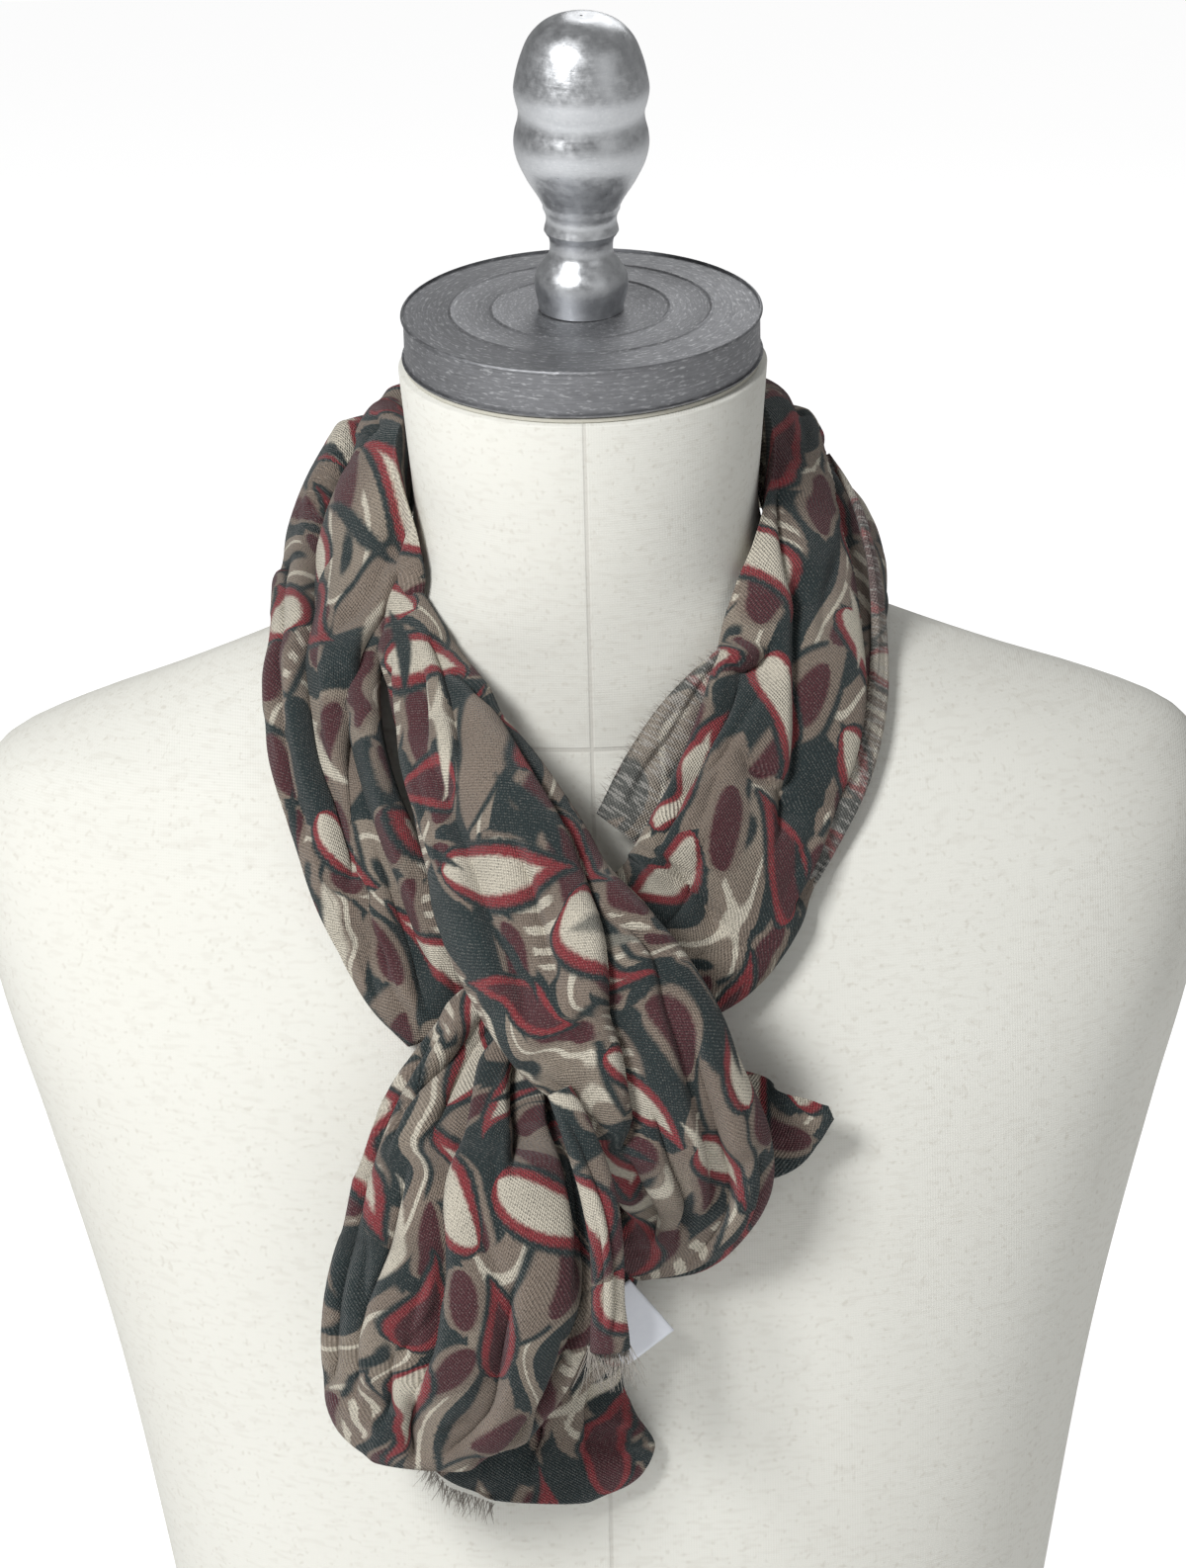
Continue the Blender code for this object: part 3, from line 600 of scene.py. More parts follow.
# creases: depth, reach on the sharp and the soft side, how far the lip leans over, the lip's side (1 is the
# inner edge where the line runs with the rows), and the line's points as (row, place across)
longCreases = (
    (7.5, 1.8, 7, 3, 1, ((10.6, 0.9), (9.1, 0.16), (8.7, -0.25), (7.9, -0.5), (6.5, -0.4), (5.3, -0.3),
        (4, -0.33), (2.6, -0.4))),
    (5.5, 2, 7, 2, 1, ((7.2, 1.1), (6.5, 1), (5.7, 0.9), (5.2, 0.68), (4.7, 0.42), (3.9, 0.1),
        (3.1, -0.1), (2, -0.2))),
    (14, 2, 7, 2.4, -1, ((5.9, 1.1), (5.3, 1), (4.8, 0.88), (3.8, 0.72), (3, 0.6), (2, 0.5), (1, 0.45))),
    (4.6, 1.8, 5, 1.4, -1, ((4.4, -0.1), (3.4, -0.2), (2.4, -0.26), (1.2, -0.35))),
    (4.6, 2, 5, 1.2, 1, ((3.4, 0.4), (2.6, 0.25), (1.6, 0.15), (0.4, 0.05))),
    (3, 2, 7, 1.2, -1, ((9.3, 1.15), (8.8, 0.9), (8.7, 0.6), (8.4, 0.3))),
    (1.8, 4, 8, 0.5, 1, ((8.3, 0.9), (7.4, 0.72), (6.7, 0.6), (6, 0.35))),
    (2.8, 1.8, 5, 1.2, -1, ((7.9, 1.2), (7.4, 0.95), (7, 0.75))),
    (2.4, 2.2, 6, 1, 1, ((8.6, -0.7), (7.4, -0.78), (6.2, -0.72), (4.8, -0.75), (3.4, -0.8))),
    (2, 2.4, 6, 0.8, -1, ((6.2, 0.15), (5.4, 0.05), (4.6, -0.05))),
    (4.6, 2, 8, 2.2, 1, ((10, -0.3), (11.6, -0.32), (13.4, -0.1), (15.4, 0.06), (17, 0.2))),
    (3.6, 2.2, 7, 1.6, -1, ((9.6, 0.55), (11.2, 0.3), (13, 0.45), (15, 0.4), (16.8, 0.62))),
    (3.2, 2, 6, 1.4, 1, ((10.8, -0.72), (12.8, -0.62), (15, -0.7), (17.4, -0.82))),
    (2.6, 2.4, 6, 0.8, -1, ((11.8, 0.02), (13.2, 0.16), (14.8, 0.2), (16.2, -0.1))),
    (2.6, 2, 6, 1, 1, ((9.8, 0.85), (11, 0.72), (12.4, 0.8), (14.2, 0.78))),
    (2.2, 2.4, 7, 0.6, -1, ((14.4, -0.42), (15.8, -0.4), (17.2, -0.5))),
    (3.4, 1.6, 7, 2.2, 1, ((15.8, 0.5), (16.8, 0.34), (17.7, 0), (18.6, -0.42), (19.6, -0.7),
        (20.6, -0.86), (21.6, -0.92), (22.4, -0.95))),
    (4.6, 2.4, 8, 1, -1, ((20.9, 0.62), (21.1, 0.4), (21.2, 0.05), (21.3, -0.3), (21.5, -0.6))),
    (5.5, 1.8, 6, 2, -1, ((20.1, 1.25), (20.05, 0.95), (19.95, 0.72), (19.7, 0.45))),
    (3.2, 1.5, 5, 1.4, -1, ((20.1, 0.8), (20.6, 0.74), (21.1, 0.8), (21.6, 0.84), (22.2, 0.9))),
    (4.4, 2.2, 7, 1.2, -1, ((22.4, 1.05), (22.5, 0.6), (22.7, 0.1), (22.9, -0.5))),
    (2.2, 2.2, 6, 1, 1, ((17.6, 1), (18.4, 0.7), (19, 0.45), (19.4, 0.15))),
    (3, 2.6, 7, 0.6, 1, ((18.6, 0.35), (19.8, 0.2), (20.8, -0.1), (21.8, -0.35))),
    (2, 2.4, 6, 0.8, -1, ((21.9, 0.5), (22.6, 0.3), (23.4, 0.2), (24.2, 0.2))),
    (4, 1.5, 9, 3.2, -1, ((26.4, 0.2), (27.1, 0.13), (27.9, 0), (28.4, -0.02), (29, 0.13),
        (29.8, 0.14), (30.6, 0.1), (31.2, 0.08), (31.9, 0.25))),
    (7.5, 2.4, 5, 1.6, 1, ((26, -0.05), (26.6, -0.16), (27.2, -0.3), (27.8, -0.42), (28.4, -0.46),
        (29.1, -0.36))),
    (4.4, 1.8, 6, 1.8, 1, ((26.2, -0.4), (26.8, -0.72), (27.6, -0.82), (28.6, -0.84), (29.4, -0.84),
        (30.2, -0.9))),
    (2.6, 2, 7, 1.2, -1, ((26.7, 1), (27.3, 0.96), (28, 0.8), (28.8, 0.74))),
    (4.2, 1.9, 6, 1.8, 1, ((26.2, 0.55), (26.8, 0.55), (27.3, 0.56), (27.7, 0.68), (28.2, 0.85),
        (28.5, 1.05))),
    (3.4, 1.6, 7, 2, 1, ((30.3, -0.86), (31.3, -0.84), (32.1, -0.78), (32.9, -0.72), (33.6, -0.45))),
    (2.8, 2.4, 8, 1.2, -1, ((28.6, 0.5), (29.4, 0.6), (30.3, 0.68), (31.2, 0.74), (32.4, 0.7))),
    (5, 2.4, 6, 1.4, -1, ((34, 0.1), (33.3, 0.13), (32.5, 0.18), (31.7, 0.22))),
    (2.8, 2.2, 6, 1, 1, ((26, 0.32), (26.9, 0.34), (27.8, 0.36), (28.7, 0.4))),
    (2.4, 2.2, 6, 1, -1, ((29.8, -0.35), (30.8, -0.4), (31.8, -0.46), (32.8, -0.3), (33.5, -0.1))),
    (2.4, 2, 6, 0.8, 1, ((32.9, 0.62), (32.2, 0.42), (31.6, 0.42), (31, 0.5))),
    (3, 2, 6, 1, 1, ((26.6, 1.5), (28.4, 1.45), (30.4, 1.6), (32.6, 1.5))),
    (3, 2, 6, 1, -1, ((26.6, -1.5), (28.6, -1.55), (30.6, -1.45), (32.6, -1.6))),
)
crossRows = (
    (-66, -24, 568, 7, 5, -60, 30), (-62, -38, 556, 10, 7, -50, 28), (-58, -50, 546, 13, 10, -40, 24),
    (-54, -60, 537, 16.5, 12, -34, 22), (-47, -75, 526, 20.5, 14, -26, 20),
    (-37, -95, 511, 25.5, 15.5, -18, 16), (-27, -112, 493, 29, 16, -12, 14),
    (-19, -124, 477, 31, 15, -8, 12), (-9, -134, 464, 33, 14.5, -4, 10), (1, -140, 452, 33.5, 14, 0, 8),
    (12, -143, 438, 30.5, 14, 4, 4), (21, -141, 421, 27, 15, 8, 0), (27, -136, 402, 27.5, 15, 10, -4),
    (29, -129, 385, 27, 14, 8, -10), (21, -122, 368, 21, 11, 4, -20), (5, -119, 361, 14, 7.5, 0, -26),
)
crossCreases = (
    (6.5, 1.5, 11, 4.2, 1, ((3.8, -1.05), (4.6, -0.9), (5.3, -0.76), (6.2, -0.73), (7.1, -0.64),
        (7.8, -0.5), (8.5, -0.25), (9.1, 0.02), (9.7, 0.2), (10.5, 0.52), (11.4, 0.9))),
    (3, 1.5, 5, 1.8, 1, ((3.2, -1.05), (4, -1.1), (4.7, -1.08), (5.4, -1.02), (6.1, -0.97), (6.9, -1))),
    (2.4, 2.2, 7, 1, 1, ((2.2, -0.9), (3, -0.76), (3.8, -0.56), (4.4, -0.32), (5.1, -0.06))),
    (2.4, 2, 5, 1, -1, ((2.8, -0.5), (3.4, -0.3), (4, -0.05), (4.5, 0.2))),
    (3, 1.8, 6, 1.4, -1, ((2.2, 0.1), (3, 0.42), (3.6, 0.62), (4.3, 0.86), (5.2, 0.95), (6.2, 1))),
    (2.2, 2, 5, 1, -1, ((1.8, 0.7), (2.6, 0.9), (3.4, 1.1), (4.2, 1.2))),
    (2.6, 3.2, 8, 0.5, 1, ((4.5, 0.2), (5.4, 0.34), (6.4, 0.38), (7.4, 0.44), (8.7, 0.62))),
    (2.4, 2.4, 9, 0.8, 1, ((7.8, -1), (8.8, -0.78), (9.8, -0.52), (10.8, -0.32), (12, -0.2),
        (13.4, -0.12))),
    (2.2, 2.2, 7, 1, -1, ((9.8, -0.72), (10.9, -0.56), (11.9, -0.46), (13, -0.42), (14.2, -0.3))),
    (3.6, 1.8, 6, 1.6, -1, ((11.2, 0.85), (12, 0.68), (13, 0.52), (14.4, 0.3))),
    (2.4, 1.8, 5, 1.2, 1, ((10.6, 0.18), (11.6, 0.3), (12.8, 0.2), (13.8, 0.12))),
    (2, 1.6, 4, 1, -1, ((9.2, 0.9), (10, 0.86), (10.8, 0.9))),
    (2.8, 2.6, 7, 0.6, -1, ((5.8, -0.25), (6.8, -0.15), (7.8, 0.05), (8.6, 0.25))),
    (2.6, 2, 6, 1, 1, ((12, -0.85), (13, -0.8), (14, -0.65))),
)
pouchRows = (
    (1, -119, 360, 12, 5, 0, 0), (-9, -120, 337, 16, 5.2, 0, 0), (-18, -120, 317, 27, 5.5, 0, 0),
    (-21, -120.5, 307, 33.5, 5.5, 0, 0), (-22.5, -120.5, 298.5, 37.5, 5.5, 0, 0),
    (-23.2, -120.5, 288, 36.5, 5, 0, 0), (-23.6, -120, 280.5, 30.5, 4.5, 0, 0),
    (-24, -120, 274, 18, 4, 0, 0),
)
pouchCreases = (
    (1.9, 1, 5, 1.2, -1, ((1.2, 0.55), (1.9, 0.36), (2.9, 0.06), (4, -0.03), (4.9, 0.06), (5.8, 0.1))),
    (1.5, 1, 5, 0.8, -1, ((1.8, 0.75), (2.6, 0.56), (3.8, 0.38), (4.8, 0.45), (5.8, 0.5))),
    (1.5, 1.2, 6, 0.8, 1, ((1.4, -0.7), (2.4, -0.42), (3.8, -0.4), (5.6, -0.44))),
    (1.2, 1.4, 5, 0.5, 1, ((3.2, 0.8), (4.2, 0.74), (5.2, 0.66))),
    (1.2, 1.4, 5, 0.5, -1, ((2.8, -0.85), (3.8, -0.76), (5, -0.7))),
)
pleatRows = (
    (-13, -157.5, 431, 4, 3.2, 0, 0), (-6, -163, 415, 5.5, 3.8, 6, 0), (-1, -167, 398, 6, 4.2, 10, 0),
    (1, -168, 379, 6, 4.2, 12, 0), (1, -167, 360, 6, 4, 12, 0), (1, -165, 346, 6.5, 3.6, 10, 0),
)
pleatCreases = (
    (1.8, 1, 4, 0.8, 1, ((0.3, 0.3), (1.4, 0.2), (2.6, -0.1), (3.8, -0.2), (4.8, 0))),
    (1.2, 1, 3, 0.5, -1, ((2, 0.5), (3.2, 0.45), (4.6, 0.5))),
)
# single layers: x, y, z, half breadth, where the front looks, lift, bow
cornerRows = (
    (44.7, -114.1, 400, 20, 12, 0, 2), (58, -115, 400, 15.5, 14, 0, 2.5),
    (66, -116, 402.5, 9.5, 14, 0, 2), (74, -116, 405.5, 2.5, 14, 0, 1),
)
innerFlapRows = (
    (50, -57, 549, 1.5, 16, 18, 0.4), (44.5, -61, 542, 4.5, 14, 16, 1.2), (38, -65, 533, 8, 10, 16, 2),
    (31, -70, 523.5, 10.5, 6, 16, 2.6), (23.5, -76, 513, 11.5, 2, 16, 2.8),
    (16, -81.5, 503, 11, 0, 16, 2.6), (7, -86, 493, 8, -4, 14, 2),
)
rightEdgeRows = (
    (80.5, 20, 587, 0.3, 88, 40, 0.2), (85.5, 8, 580.5, 1.6, 84, 38, 0.8),
    (90.5, -5, 570, 2.8, 78, 36, 1.6), (94, -19, 553, 3.7, 66, 32, 2.2),
    (94.5, -33, 536, 4.3, 54, 31, 2.6), (91.5, -52, 517, 4.5, 42, 29, 2.6),
    (85, -66, 500, 4.3, 34, 26, 2.4), (76.5, -76, 486, 3.9, 28, 24, 2),
    (66.5, -85, 471, 3.2, 24, 20, 1.6), (55, -92.5, 454, 2.2, 20, 16, 1),
    (45, -97, 440, 0.8, 16, 12, 0.4),
)
flapCreases = (
    (2.2, 1.4, 5, 0.8, 1, ((0.6, 0.2), (1.8, 0.35), (3.2, 0.2), (4.6, 0.3), (5.8, 0.1))),
    (1.8, 1.2, 4, 0.8, -1, ((1.6, -0.5), (2.6, -0.25), (3.8, -0.4), (5.2, -0.3))),
    (1.6, 1.6, 4, 0.4, 1, ((2.4, 0.9), (3, 0.7), (3.8, 0.75))),
    (1.4, 1.4, 4, 0.4, -1, ((3.6, -0.9), (4.2, -0.7), (5, -0.8))),
)
edgeCreases = (
    (1, 0.8, 2.5, 0.2, 1, ((1.5, 0.5), (3.5, 0.2), (5.5, 0.45), (7.6, 0.2))),
    (0.8, 0.8, 2.5, 0.2, -1, ((2.5, -0.5), (4.2, -0.3), (6.4, -0.55), (8.6, -0.3))),
)
labelRows = ((0, -125.8, 347, 10, 0, 0, 0), (14, -125.8, 329, 10, 0, 0, 0))

# small: seed, number and depth of the small creases; clear: how far the front keeps off the form;
# shift: moves the print
bandLook = {
    "scarf_long": {
        "rows": longRows, "creases": longCreases, "small": (5, 90, 1.3), "rings": 425, "around": 230,
        "clear": 5.5, "shift": (0, 0),
        "replaces": ("scarf_left_outer", "scarf_neck_wrap", "scarf_right_front", "scarf_hanging_end"),
    },
    "scarf_crossing": {
        "rows": crossRows, "creases": crossCreases, "small": (9, 34, 0.9), "rings": 330, "around": 230,
        "clear": 5.5, "shift": (0.31, 0.17), "replaces": ("scarf_cross",),
    },
    "scarf_pouch": {
        "rows": pouchRows, "creases": pouchCreases, "small": (12, 12, 0.6), "rings": 110, "around": 130,
        "clear": 2.5, "shift": (0.62, 0.05), "replaces": ("scarf_tucked_end",),
    },
    "scarf_pleat": {
        "rows": pleatRows, "creases": pleatCreases, "small": (0, 0, 0), "rings": 140, "around": 70,
        "clear": 2.5, "shift": (0.13, 0.47), "replaces": ("scarf_hanging_pleat",),
    },
}
layerLook = {
    "scarf_corner_piece": {
        "rows": cornerRows, "creases": (), "small": (21, 7, 0.9), "rings": 60, "across": 50, "thick": 1.2,
        "shift": (0.44, 0.21), "replaces": "scarf_corner", "slot": "printed_wool",
    },
    "scarf_flap_piece": {
        "rows": innerFlapRows, "creases": flapCreases, "small": (22, 7, 1.2), "rings": 90, "across": 50,
        "thick": 1.2, "shift": (0.74, 0.41), "replaces": "scarf_inner_flap", "slot": "printed_wool_reverse",
    },
    "scarf_rolled_edge": {
        "rows": rightEdgeRows, "creases": edgeCreases, "small": (23, 7, 0.4), "rings": 200, "across": 20,
        "thick": 2.2, "shift": (0.24, 0.61), "replaces": "scarf_right_edge", "slot": "printed_wool_reverse",
    },
    "blank_label": {
        "rows": labelRows, "creases": (), "small": (24, 7, 0.3), "rings": 20, "across": 20, "thick": 0.7,
        "shift": (0, 0), "replaces": "care_label", "slot": "white_satin",
    },
}
yarnTaper = 0.82
# loose yarns: number, length, spread, radius, seed, way they hang, node they replace, and their edge
frayLook = {
    "fray_pleat": (
        110, 13, 0.45, 0.15, 31, (0, 0, -1), "scarf_pleat_fringe", ((-6, -166, 346.5), (8, -165, 346)),
    ),
    "fray_end": (
        150, 6.5, 0.55, 0.13, 32, (-0.3, 0, -1), "scarf_end_fringe",
        ((-60, -122, 289), (-53, -124, 280.5), (-38, -124, 274)),
    ),
    "fray_flap": (
        260, 3.6, 0.5, 0.11, 33, (-0.8, 0, 0.4), None,
        [(row[0] - row[3] * 0.9, row[1] - 0.5, row[2] + row[3] * 0.5) for row in innerFlapRows],
    ),
}
# how creases are drawn: millimetres for each half breadth past the edge, step of the path, reach, fade of
# the ends, and gain; turnIn: how small and how deep a band's end is turned in
creaseLook = {
    "beyond": 20, "pathStep": 3, "reach": 3.2, "fade": 16, "fadeShare": 0.4, "gain": 2.0,
    "turnIn": ((0.90, 0.6), (0.84, 4.0)),
}


# the length along a line up to each of its points
def lengthsAlong(points):
    return np.concatenate([[0], np.cumsum(np.linalg.norm(np.diff(points, axis=0), axis=1))])


# evenly spaced sections of a stretch: their rows, row numbers, ways along, and places on its middle line
def sections(rows, count):
    rows = np.array(rows, float)
    at = lengthsAlong(rows[:, :3])
    where = np.linspace(0, at[-1], count)
    low = smoothRead(rows, at, np.maximum(where - 0.5, 0))[:, :3]
    high = smoothRead(rows, at, np.minimum(where + 0.5, at[-1]))[:, :3]
    along = (high - low) / np.linalg.norm(high - low, axis=1)[:, None]
    return smoothRead(rows, at, where), np.interp(where, at, np.arange(len(at))), along, where


# the ways across and out of each section, square to the way along
def facing(face, lift, along):
    face, lift = np.radians(face), np.radians(lift)
    out = np.stack([np.sin(face) * np.cos(lift), -np.cos(face) * np.cos(lift), np.sin(lift)], axis=1)
    out -= (out * along).sum(axis=1)[:, None] * along
    out /= np.linalg.norm(out, axis=1)[:, None]
    return np.cross(along, out), out


# places round a section from the back's middle, evenly spaced but closer together on the front
def ringShape(around, share=0.7, flat=0.42, power=2 / 2.2):
    angle = np.linspace(-math.pi, math.pi, 4001)
    side, front = signedPower(np.sin(angle), power), signedPower(np.cos(angle), power)
    at = np.concatenate([[0], np.cumsum(np.hypot(np.diff(side), flat * np.diff(front)))])
    at = at / at[-1] * 2 - 1
    goal = np.linspace(-1, 1, around + 1)
    inner = 0.5 * goal / share
    outer = np.sign(goal) * (0.5 + 0.5 * (np.abs(goal) - share) / (1 - share))
    goal = np.where(np.abs(goal) < share, inner, outer)
    return np.interp(goal, at, side), np.interp(goal, at, front)


# for each place the offset from a line, the length along it, its whole length, and the way square to it
def nearLine(u, v, line):
    best = np.full(u.shape, 1e9)
    offset, length = np.zeros(u.shape), np.zeros(u.shape)
    across, along = np.zeros(u.shape), np.zeros(u.shape)
    total = 0
    for (u0, v0), (u1, v1) in zip(line, line[1:]):
        run = math.hypot(u1 - u0, v1 - v0)
        du, dv = (u1 - u0) / run, (v1 - v0) / run
        t = np.clip((u - u0) * du + (v - v0) * dv, 0, run)
        gap = np.hypot(u - u0 - t * du, v - v0 - t * dv)
        closer = gap < best
        side = (u - u0) * dv - (v - v0) * du
        best = np.where(closer, gap, best)
        offset = np.where(closer, np.copysign(gap, side), offset)
        length = np.where(closer, total + t, length)
        across, along = np.where(closer, dv, across), np.where(closer, -du, along)
        total += run
    return offset, length, total, across, along


# how far each place drops, and how far it slides across and along, from all the creases
def creaseShift(u, v, creases, side, number, where):
    look = creaseLook
    drop, slideU, slideV = np.zeros(u.shape), np.zeros(u.shape), np.zeros(u.shape)
    front = slice(len(side) // 4, -(len(side) // 4))
    order = np.argsort(side[front])
    for depth, steep, soft, tuck, lip, points in creases:
        flat = []
        for row, place in points:
            ring = int(np.argmin(np.abs(number - row)))
            edge = np.clip(place, -1, 1)
            spot = np.interp(edge, side[front][order], u[ring][front][order])
            flat.append((spot + (place - edge) * look["beyond"], np.interp(row, number, where)))
        flat = np.array(flat, float)
        at = lengthsAlong(flat)
        path = smoothRead(flat, at, np.linspace(0, at[-1], max(8, int(at[-1] / look["pathStep"]))))
        reach = look["reach"] * soft
        low, high = path.min(axis=0) - reach, path.max(axis=0) + reach
        near = (u > low[0]) & (u < high[0]) & (v > low[1]) & (v < high[1])
        offset, length, total, across, along = nearLine(u[near], v[near], path.tolist())
        fade = min(look["fade"], total * look["fadeShare"])
        fade = np.clip(np.minimum(length, total - length) / fade, 0, 1)
        fade = fade * fade * (3 - 2 * fade)
        lower = -lip * offset
        sharpSide, softSide = np.exp(-((lower / steep) ** 2)), np.exp((1 - np.sqrt(lower**2 + 1)) / soft)
        shape = np.where(lower < 0, sharpSide, softSide)
        drop[near] += depth * fade * shape
        kick = -tuck * fade * lower / steep * np.exp(0.5 - 0.5 * (lower / steep) ** 2)
        slideU[near] -= kick * lip * across
        slideV[near] -= kick * lip * along
    return drop, slideU, slideV


# small uneven creases between the main ones, most of them along the stretch
def smallCreases(seed, count, lastRow, depth):
    chance = random.Random(seed)
    made = []
    for _ in range(count):
        row, place = chance.uniform(0.3, lastRow - 0.8), chance.uniform(-1.1, 1.1)
        span, lean = chance.uniform(0.6, 2.4), chance.uniform(-0.45, 0.45)
        bent = place + lean * 0.5 + chance.uniform(-0.2, 0.2)
        points = ((row, place), (row + span * 0.5, bent), (min(row + span, lastRow), place + lean))
        deep = depth * chance.uniform(0.35, 1.0)
        steep, soft = chance.uniform(1.6, 3.5), chance.uniform(3, 8)
        made.append((deep, steep, soft, deep * 0.3, chance.choice((-1, 1)), points))
    return tuple(made)


def allCreases(look):
    seed, count, depth = look["small"]
    return look["creases"] + smallCreases(seed, count, len(look["rows"]) - 1, depth)


def strandGrid(look):
    rings, around = look["rings"], look["around"]
    columns, number, along, where = sections(look["rows"], rings)
    acrossWay, out = facing(columns[:, 5], columns[:, 6], along)
    side, front = ringShape(around)
    half, thick = columns[:, 3:4], columns[:, 4:5]
    x, y = half * side, thick * front
    step = np.hypot(np.diff(x, axis=1), np.diff(y, axis=1))
    u = np.concatenate([np.zeros((rings, 1)), np.cumsum(step, axis=1)], axis=1)
    u -= u[:, -1:] / 2
    v = np.broadcast_to(where[:, None], u.shape)
    drop, slideU, slideV = creaseShift(u, v, allCreases(look), side, number, where)
    # no crease goes deeper than the band is thick
    room = np.maximum(1.5 * (thick - 2.0), 1.0)
    drop = room * np.tanh(drop * creaseLook["gain"] / room)
    wayX, wayY = signedPower(side, 1.2) / half, signedPower(front, 1.2) / thick
    size = np.hypot(wayX, wayY)
    wayX, wayY = wayX / size, wayY / size
    x = x - wayX * drop + wayY * slideU
    y = y - wayY * drop - wayX * slideU
    grid = columns[:, None, :3] + acrossWay[:, None, :] * x[..., None] + out[:, None, :] * y[..., None]
    grid = grid + along[:, None, :] * slideV[..., None]
    clear = np.tile(1.0 + (1 + front) / 2 * look["clear"], rings)
    level = np.repeat(along, around + 1, axis=0)
    grid = standClear(grid.reshape(-1, 3), clear, level).reshape(grid.shape)
    grid[:, -1] = grid[:, 0]
    step = np.linalg.norm(np.diff(grid, axis=1), axis=2)
    place = np.concatenate([np.zeros((rings, 1)), np.cumsum(step, axis=1)], axis=1)
    centre = place[:, around // 2]
    place = place - centre[:, None]
    uv = np.stack([place, v + slideV], axis=2) * mm
    return grid, uv, along, float((place[:, -1] - place[:, 0]).mean()), float(where[-1] - where[0])


# a length of cloth gathered into a soft band, its long edges met behind and its ends turned in
def makeStrand(name, material):
    look = bandLook[name]
    grid, uv, along, width, length = strandGrid(look)
    ends = []
    for index, way in ((0, 1), (-1, -1)):
        ring = grid[index]
        centre = ring[:-1].mean(axis=0)
        inward = along[index] * way
        turned = [centre + (ring - centre) * keep + inward * deep for keep, deep in creaseLook["turnIn"]]
        ends.append(turned)
    grid = np.concatenate([np.array(ends[0][::-1]), grid, np.array(ends[1])])
    uv = np.concatenate([uv[:1], uv[:1], uv, uv[-1:], uv[-1:]]) + np.array(look["shift"])
    piece = gridPiece(name, grid, uv, material)
    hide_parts(*look["replaces"])
    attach(piece, "root")


# a single layer with a little thickness, closed all round its edge
def makeSheet(name, material):
    look = layerLook[name]
    columns, number, along, where = sections(look["rows"], look["rings"])
    acrossWay, out = facing(columns[:, 4], columns[:, 5], along)
    place = np.linspace(-1, 1, look["across"])
    x, v = np.broadcast_arrays(columns[:, 3:4] * place, where[:, None])
    waves, _, _ = creaseShift(x, v, allCreases(look), place, number, where)
    y = columns[:, 6:7] * (1 - place**2) - waves + look["thick"] / 2
    top = columns[:, None, :3] + acrossWay[:, None, :] * x[..., None] + out[:, None, :] * y[..., None]
    low = top - out[:, None, :] * look["thick"]
    top = top + standClear(low.reshape(-1, 3), 1.0).reshape(low.shape) - low
    uv = np.stack([x, v], axis=2) * mm + np.array(look["shift"])
    piece = gridPiece(name, top, uv, material)
    solid = piece.modifiers.new("thickness", "SOLIDIFY")
    solid.thickness = look["thick"] * mm
    solid.offset = -1
    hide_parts(look["replaces"])
    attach(piece, "root")


# loose yarns along an edge, each a thin three-sided tube that bends a little
def makeFray(name, material):
    yarns, length, spread, radius, seed, down, replaced, edge = frayLook[name]
    chance = random.Random(seed)

    def anyWay(low, high):
        return np.array([chance.uniform(a, b) for a, b in zip(low, high)]) * spread

    edges = np.array(edge, float)
    at = lengthsAlong(edges)
    bm = bmesh.new()
    layer = bm.loops.layers.uv.new("cloth")
    for _ in range(yarns):
        spot = chance.uniform(0, at[-1])
        root = np.array([np.interp(spot, at, edges[:, k]) for k in range(3)])
        way = np.array(down) + anyWay((-1, -1, -0.5), (1, 0.5, 0.5))
        way /= np.linalg.norm(way)
        bend = anyWay((-1, -1, -1), (1, 0.3, 0))
        reach = length * chance.uniform(0.35, 1.0)
        points = [root + way * reach * t + bend * reach * 0.5 * t * t for t in (-0.1, 0.3, 0.65, 1.0)]
        made = bmesh.ops.create_circle(bm, cap_ends=True, segments=3, radius=radius * mm)
        face = made["verts"][0].link_faces[0]
        bmesh.ops.translate(bm, verts=made["verts"], vec=Vector(points[0].tolist()) * mm)
        for before, after in zip(points, points[1:]):
            face = bmesh.ops.extrude_discrete_faces(bm, faces=[face])["faces"][0]
            bmesh.ops.translate(bm, verts=list(face.verts), vec=Vector((after - before).tolist()) * mm)
            middle = face.calc_center_median()
            for vert in face.verts:
                vert.co = middle + (vert.co - middle) * yarnTaper
    shift = chance.uniform(0, 0.2)
    for face in bm.faces:
        for loop in face.loops:
            loop[layer].uv = (loop.vert.co.x + shift, loop.vert.co.z)
    piece = addPiece(name, bm, material)
    if replaced:
        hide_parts(replaced)
    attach(piece, "root")


# lights: where each hangs, its size and its power
stageLook = {
    "lens": 141.19,
    "camera": (0, -1.9621, 1.118),
    "tilt": 72,
    "roll": -1.4,
    "aim": (0, 0, 0.5),
    "lights": {
        "key": ((-1.25, -1.75, 2.1), 0.7, 66),
        "fill": ((1.7, -1.7, 1.4), 1.6, 4),
        "back": ((0.5, 1.7, 1.9), 1.2, 10),
    },
    "roomLight": 0.22,
    "floorHalf": 4,
    "floor": (0.8, 0.8, 0.8, 1),
    "floorGlow": ((0.25, 0.25, 0.25, 1), (0.75, 0.75, 0.75, 1)),
}


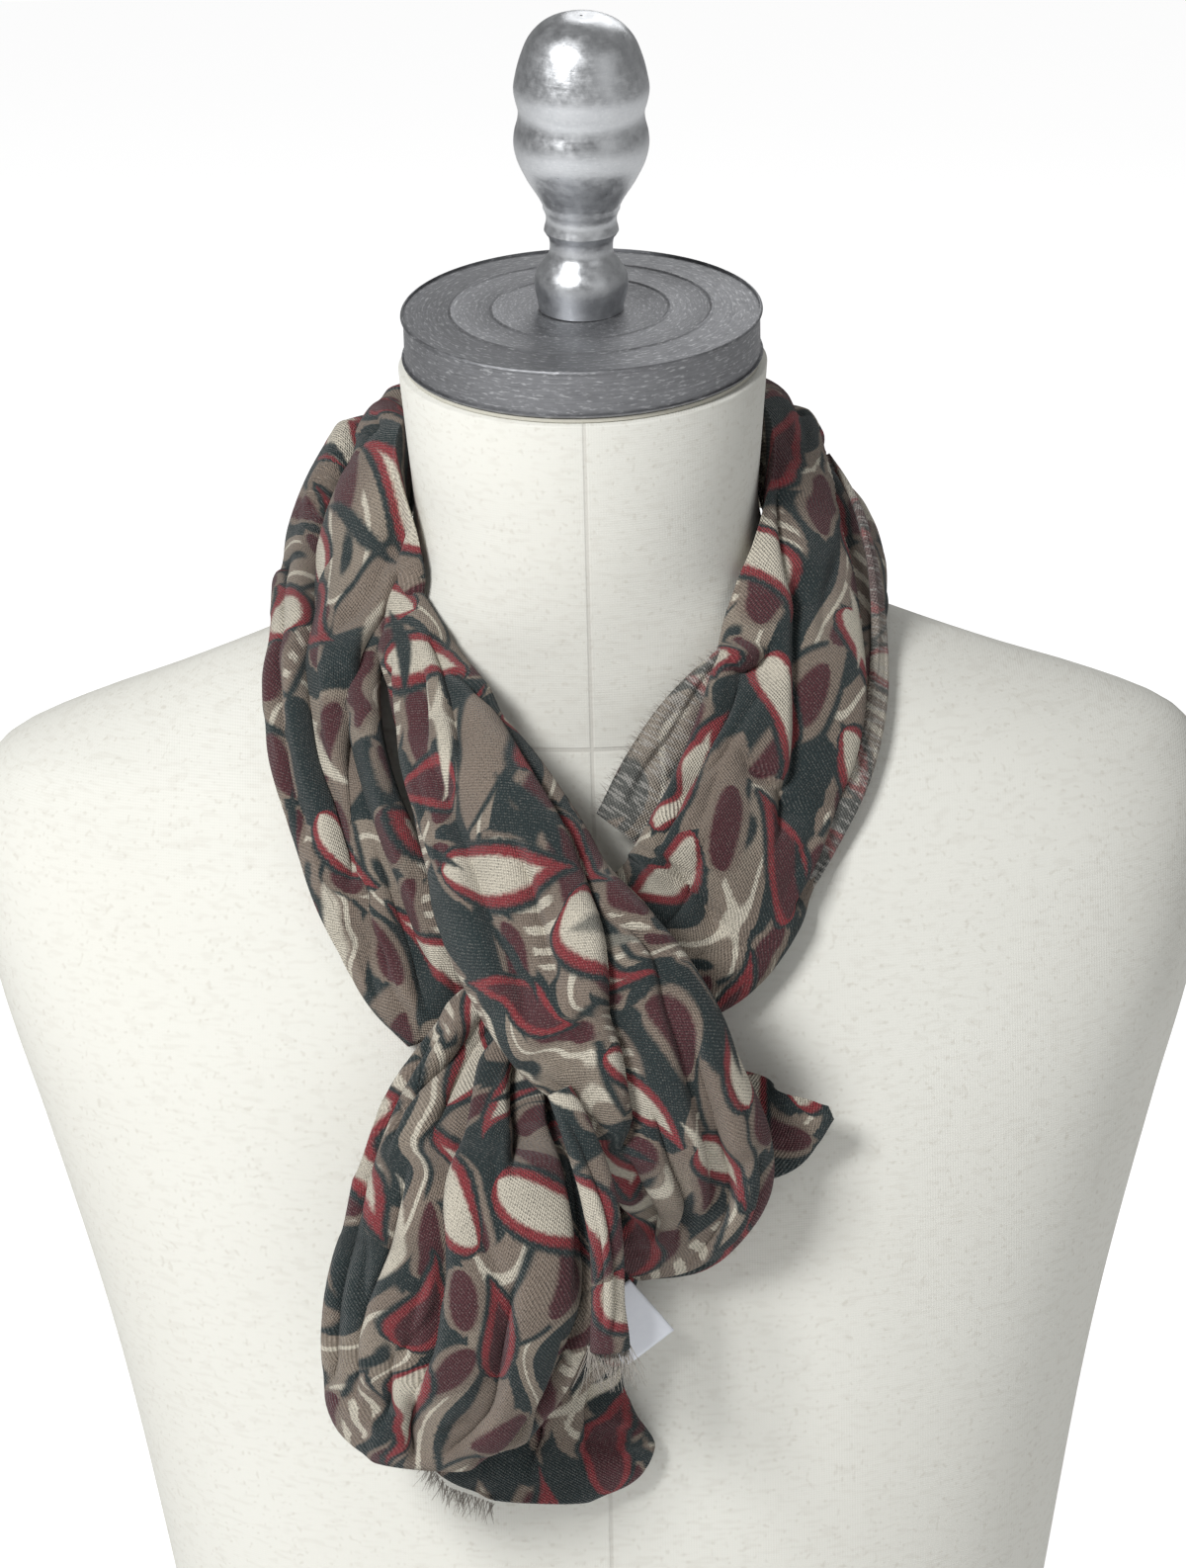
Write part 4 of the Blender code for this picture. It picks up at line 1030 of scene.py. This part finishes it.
def makeStage():
    look = stageLook
    scene = bpy.context.scene
    scene.view_settings.view_transform = "Standard"
    data = bpy.data.cameras.new("camera")
    data.lens = look["lens"]
    data.clip_end = 20
    camera = bpy.data.objects.new("camera", data)
    camera.location = look["camera"]
    turn = Euler((math.radians(look["tilt"]), 0, 0)).to_matrix()
    turn = turn @ Matrix.Rotation(math.radians(look["roll"]), 3, "Z")
    camera.rotation_euler = turn.to_euler()
    scene.collection.objects.link(camera)
    scene.camera = camera
    for name, (place, size, power) in look["lights"].items():
        lamp = bpy.data.lights.new(name, "AREA")
        lamp.size = size
        lamp.energy = power
        obj = bpy.data.objects.new(name, lamp)
        obj.location = place
        way = Vector(look["aim"]) - Vector(place)
        obj.rotation_euler = way.to_track_quat("-Z", "Y").to_euler()
        scene.collection.objects.link(obj)
    # the room looks white to the camera, and lights the object with less
    world = bpy.data.worlds.new("studio")
    world.use_nodes = True
    tree = world.node_tree
    back = tree.nodes["Background"]
    seen = tree.nodes.new("ShaderNodeLightPath")
    strength = tree.nodes.new("ShaderNodeMapRange")
    strength.inputs["To Min"].default_value = look["roomLight"]
    strength.inputs["To Max"].default_value = 1.0
    tree.links.new(seen.outputs["Is Camera Ray"], strength.inputs["Value"])
    tree.links.new(strength.outputs["Result"], back.inputs["Strength"])
    back.inputs["Color"].default_value = (1, 1, 1, 1)
    world.cycles.sampling_method = "NONE"
    scene.world = world
    bm = bmesh.new()
    bmesh.ops.create_grid(bm, x_segments=1, y_segments=1, size=look["floorHalf"])
    shade = Shade("pale_floor")
    direct = Value(shade, shade.node("ShaderNodeLightPath").outputs["Is Camera Ray"])
    shade.paint({"Base Color": look["floor"], "Roughness": 0.9})
    shade.paint({"Emission Color": shade.mix(direct, *look["floorGlow"]), "Emission Strength": 1.0})
    shade.material.cycles.emission_sampling = "NONE"
    floor = addPiece("floor", bm, shade.material, smooth=False)


makeStage()
print("stage made")

makeTorso(makeCalico())
makeTop(makeSteel("brushed_top"), makeSteel("turned_finial"), makePlain("felt_look"))
board = bpy.data.objects["form_board"]
board.material_slots[0].material = makePlain("board_look")
print("form made")

wool = makeWool("wool_front")
reverse = makeWool("wool_reverse", woolLook["paler"])
for name in bandLook:
    makeStrand(name, wool)
makeSheet("scarf_corner_piece", wool)
makeSheet("scarf_flap_piece", reverse)
makeSheet("scarf_rolled_edge", reverse)
makeSheet("blank_label", makePlain("satin_look"))
print("scarf made")

yarn = makePlain("yarn_look")
for name in frayLook:
    makeFray(name, yarn)
print("frayed ends made")
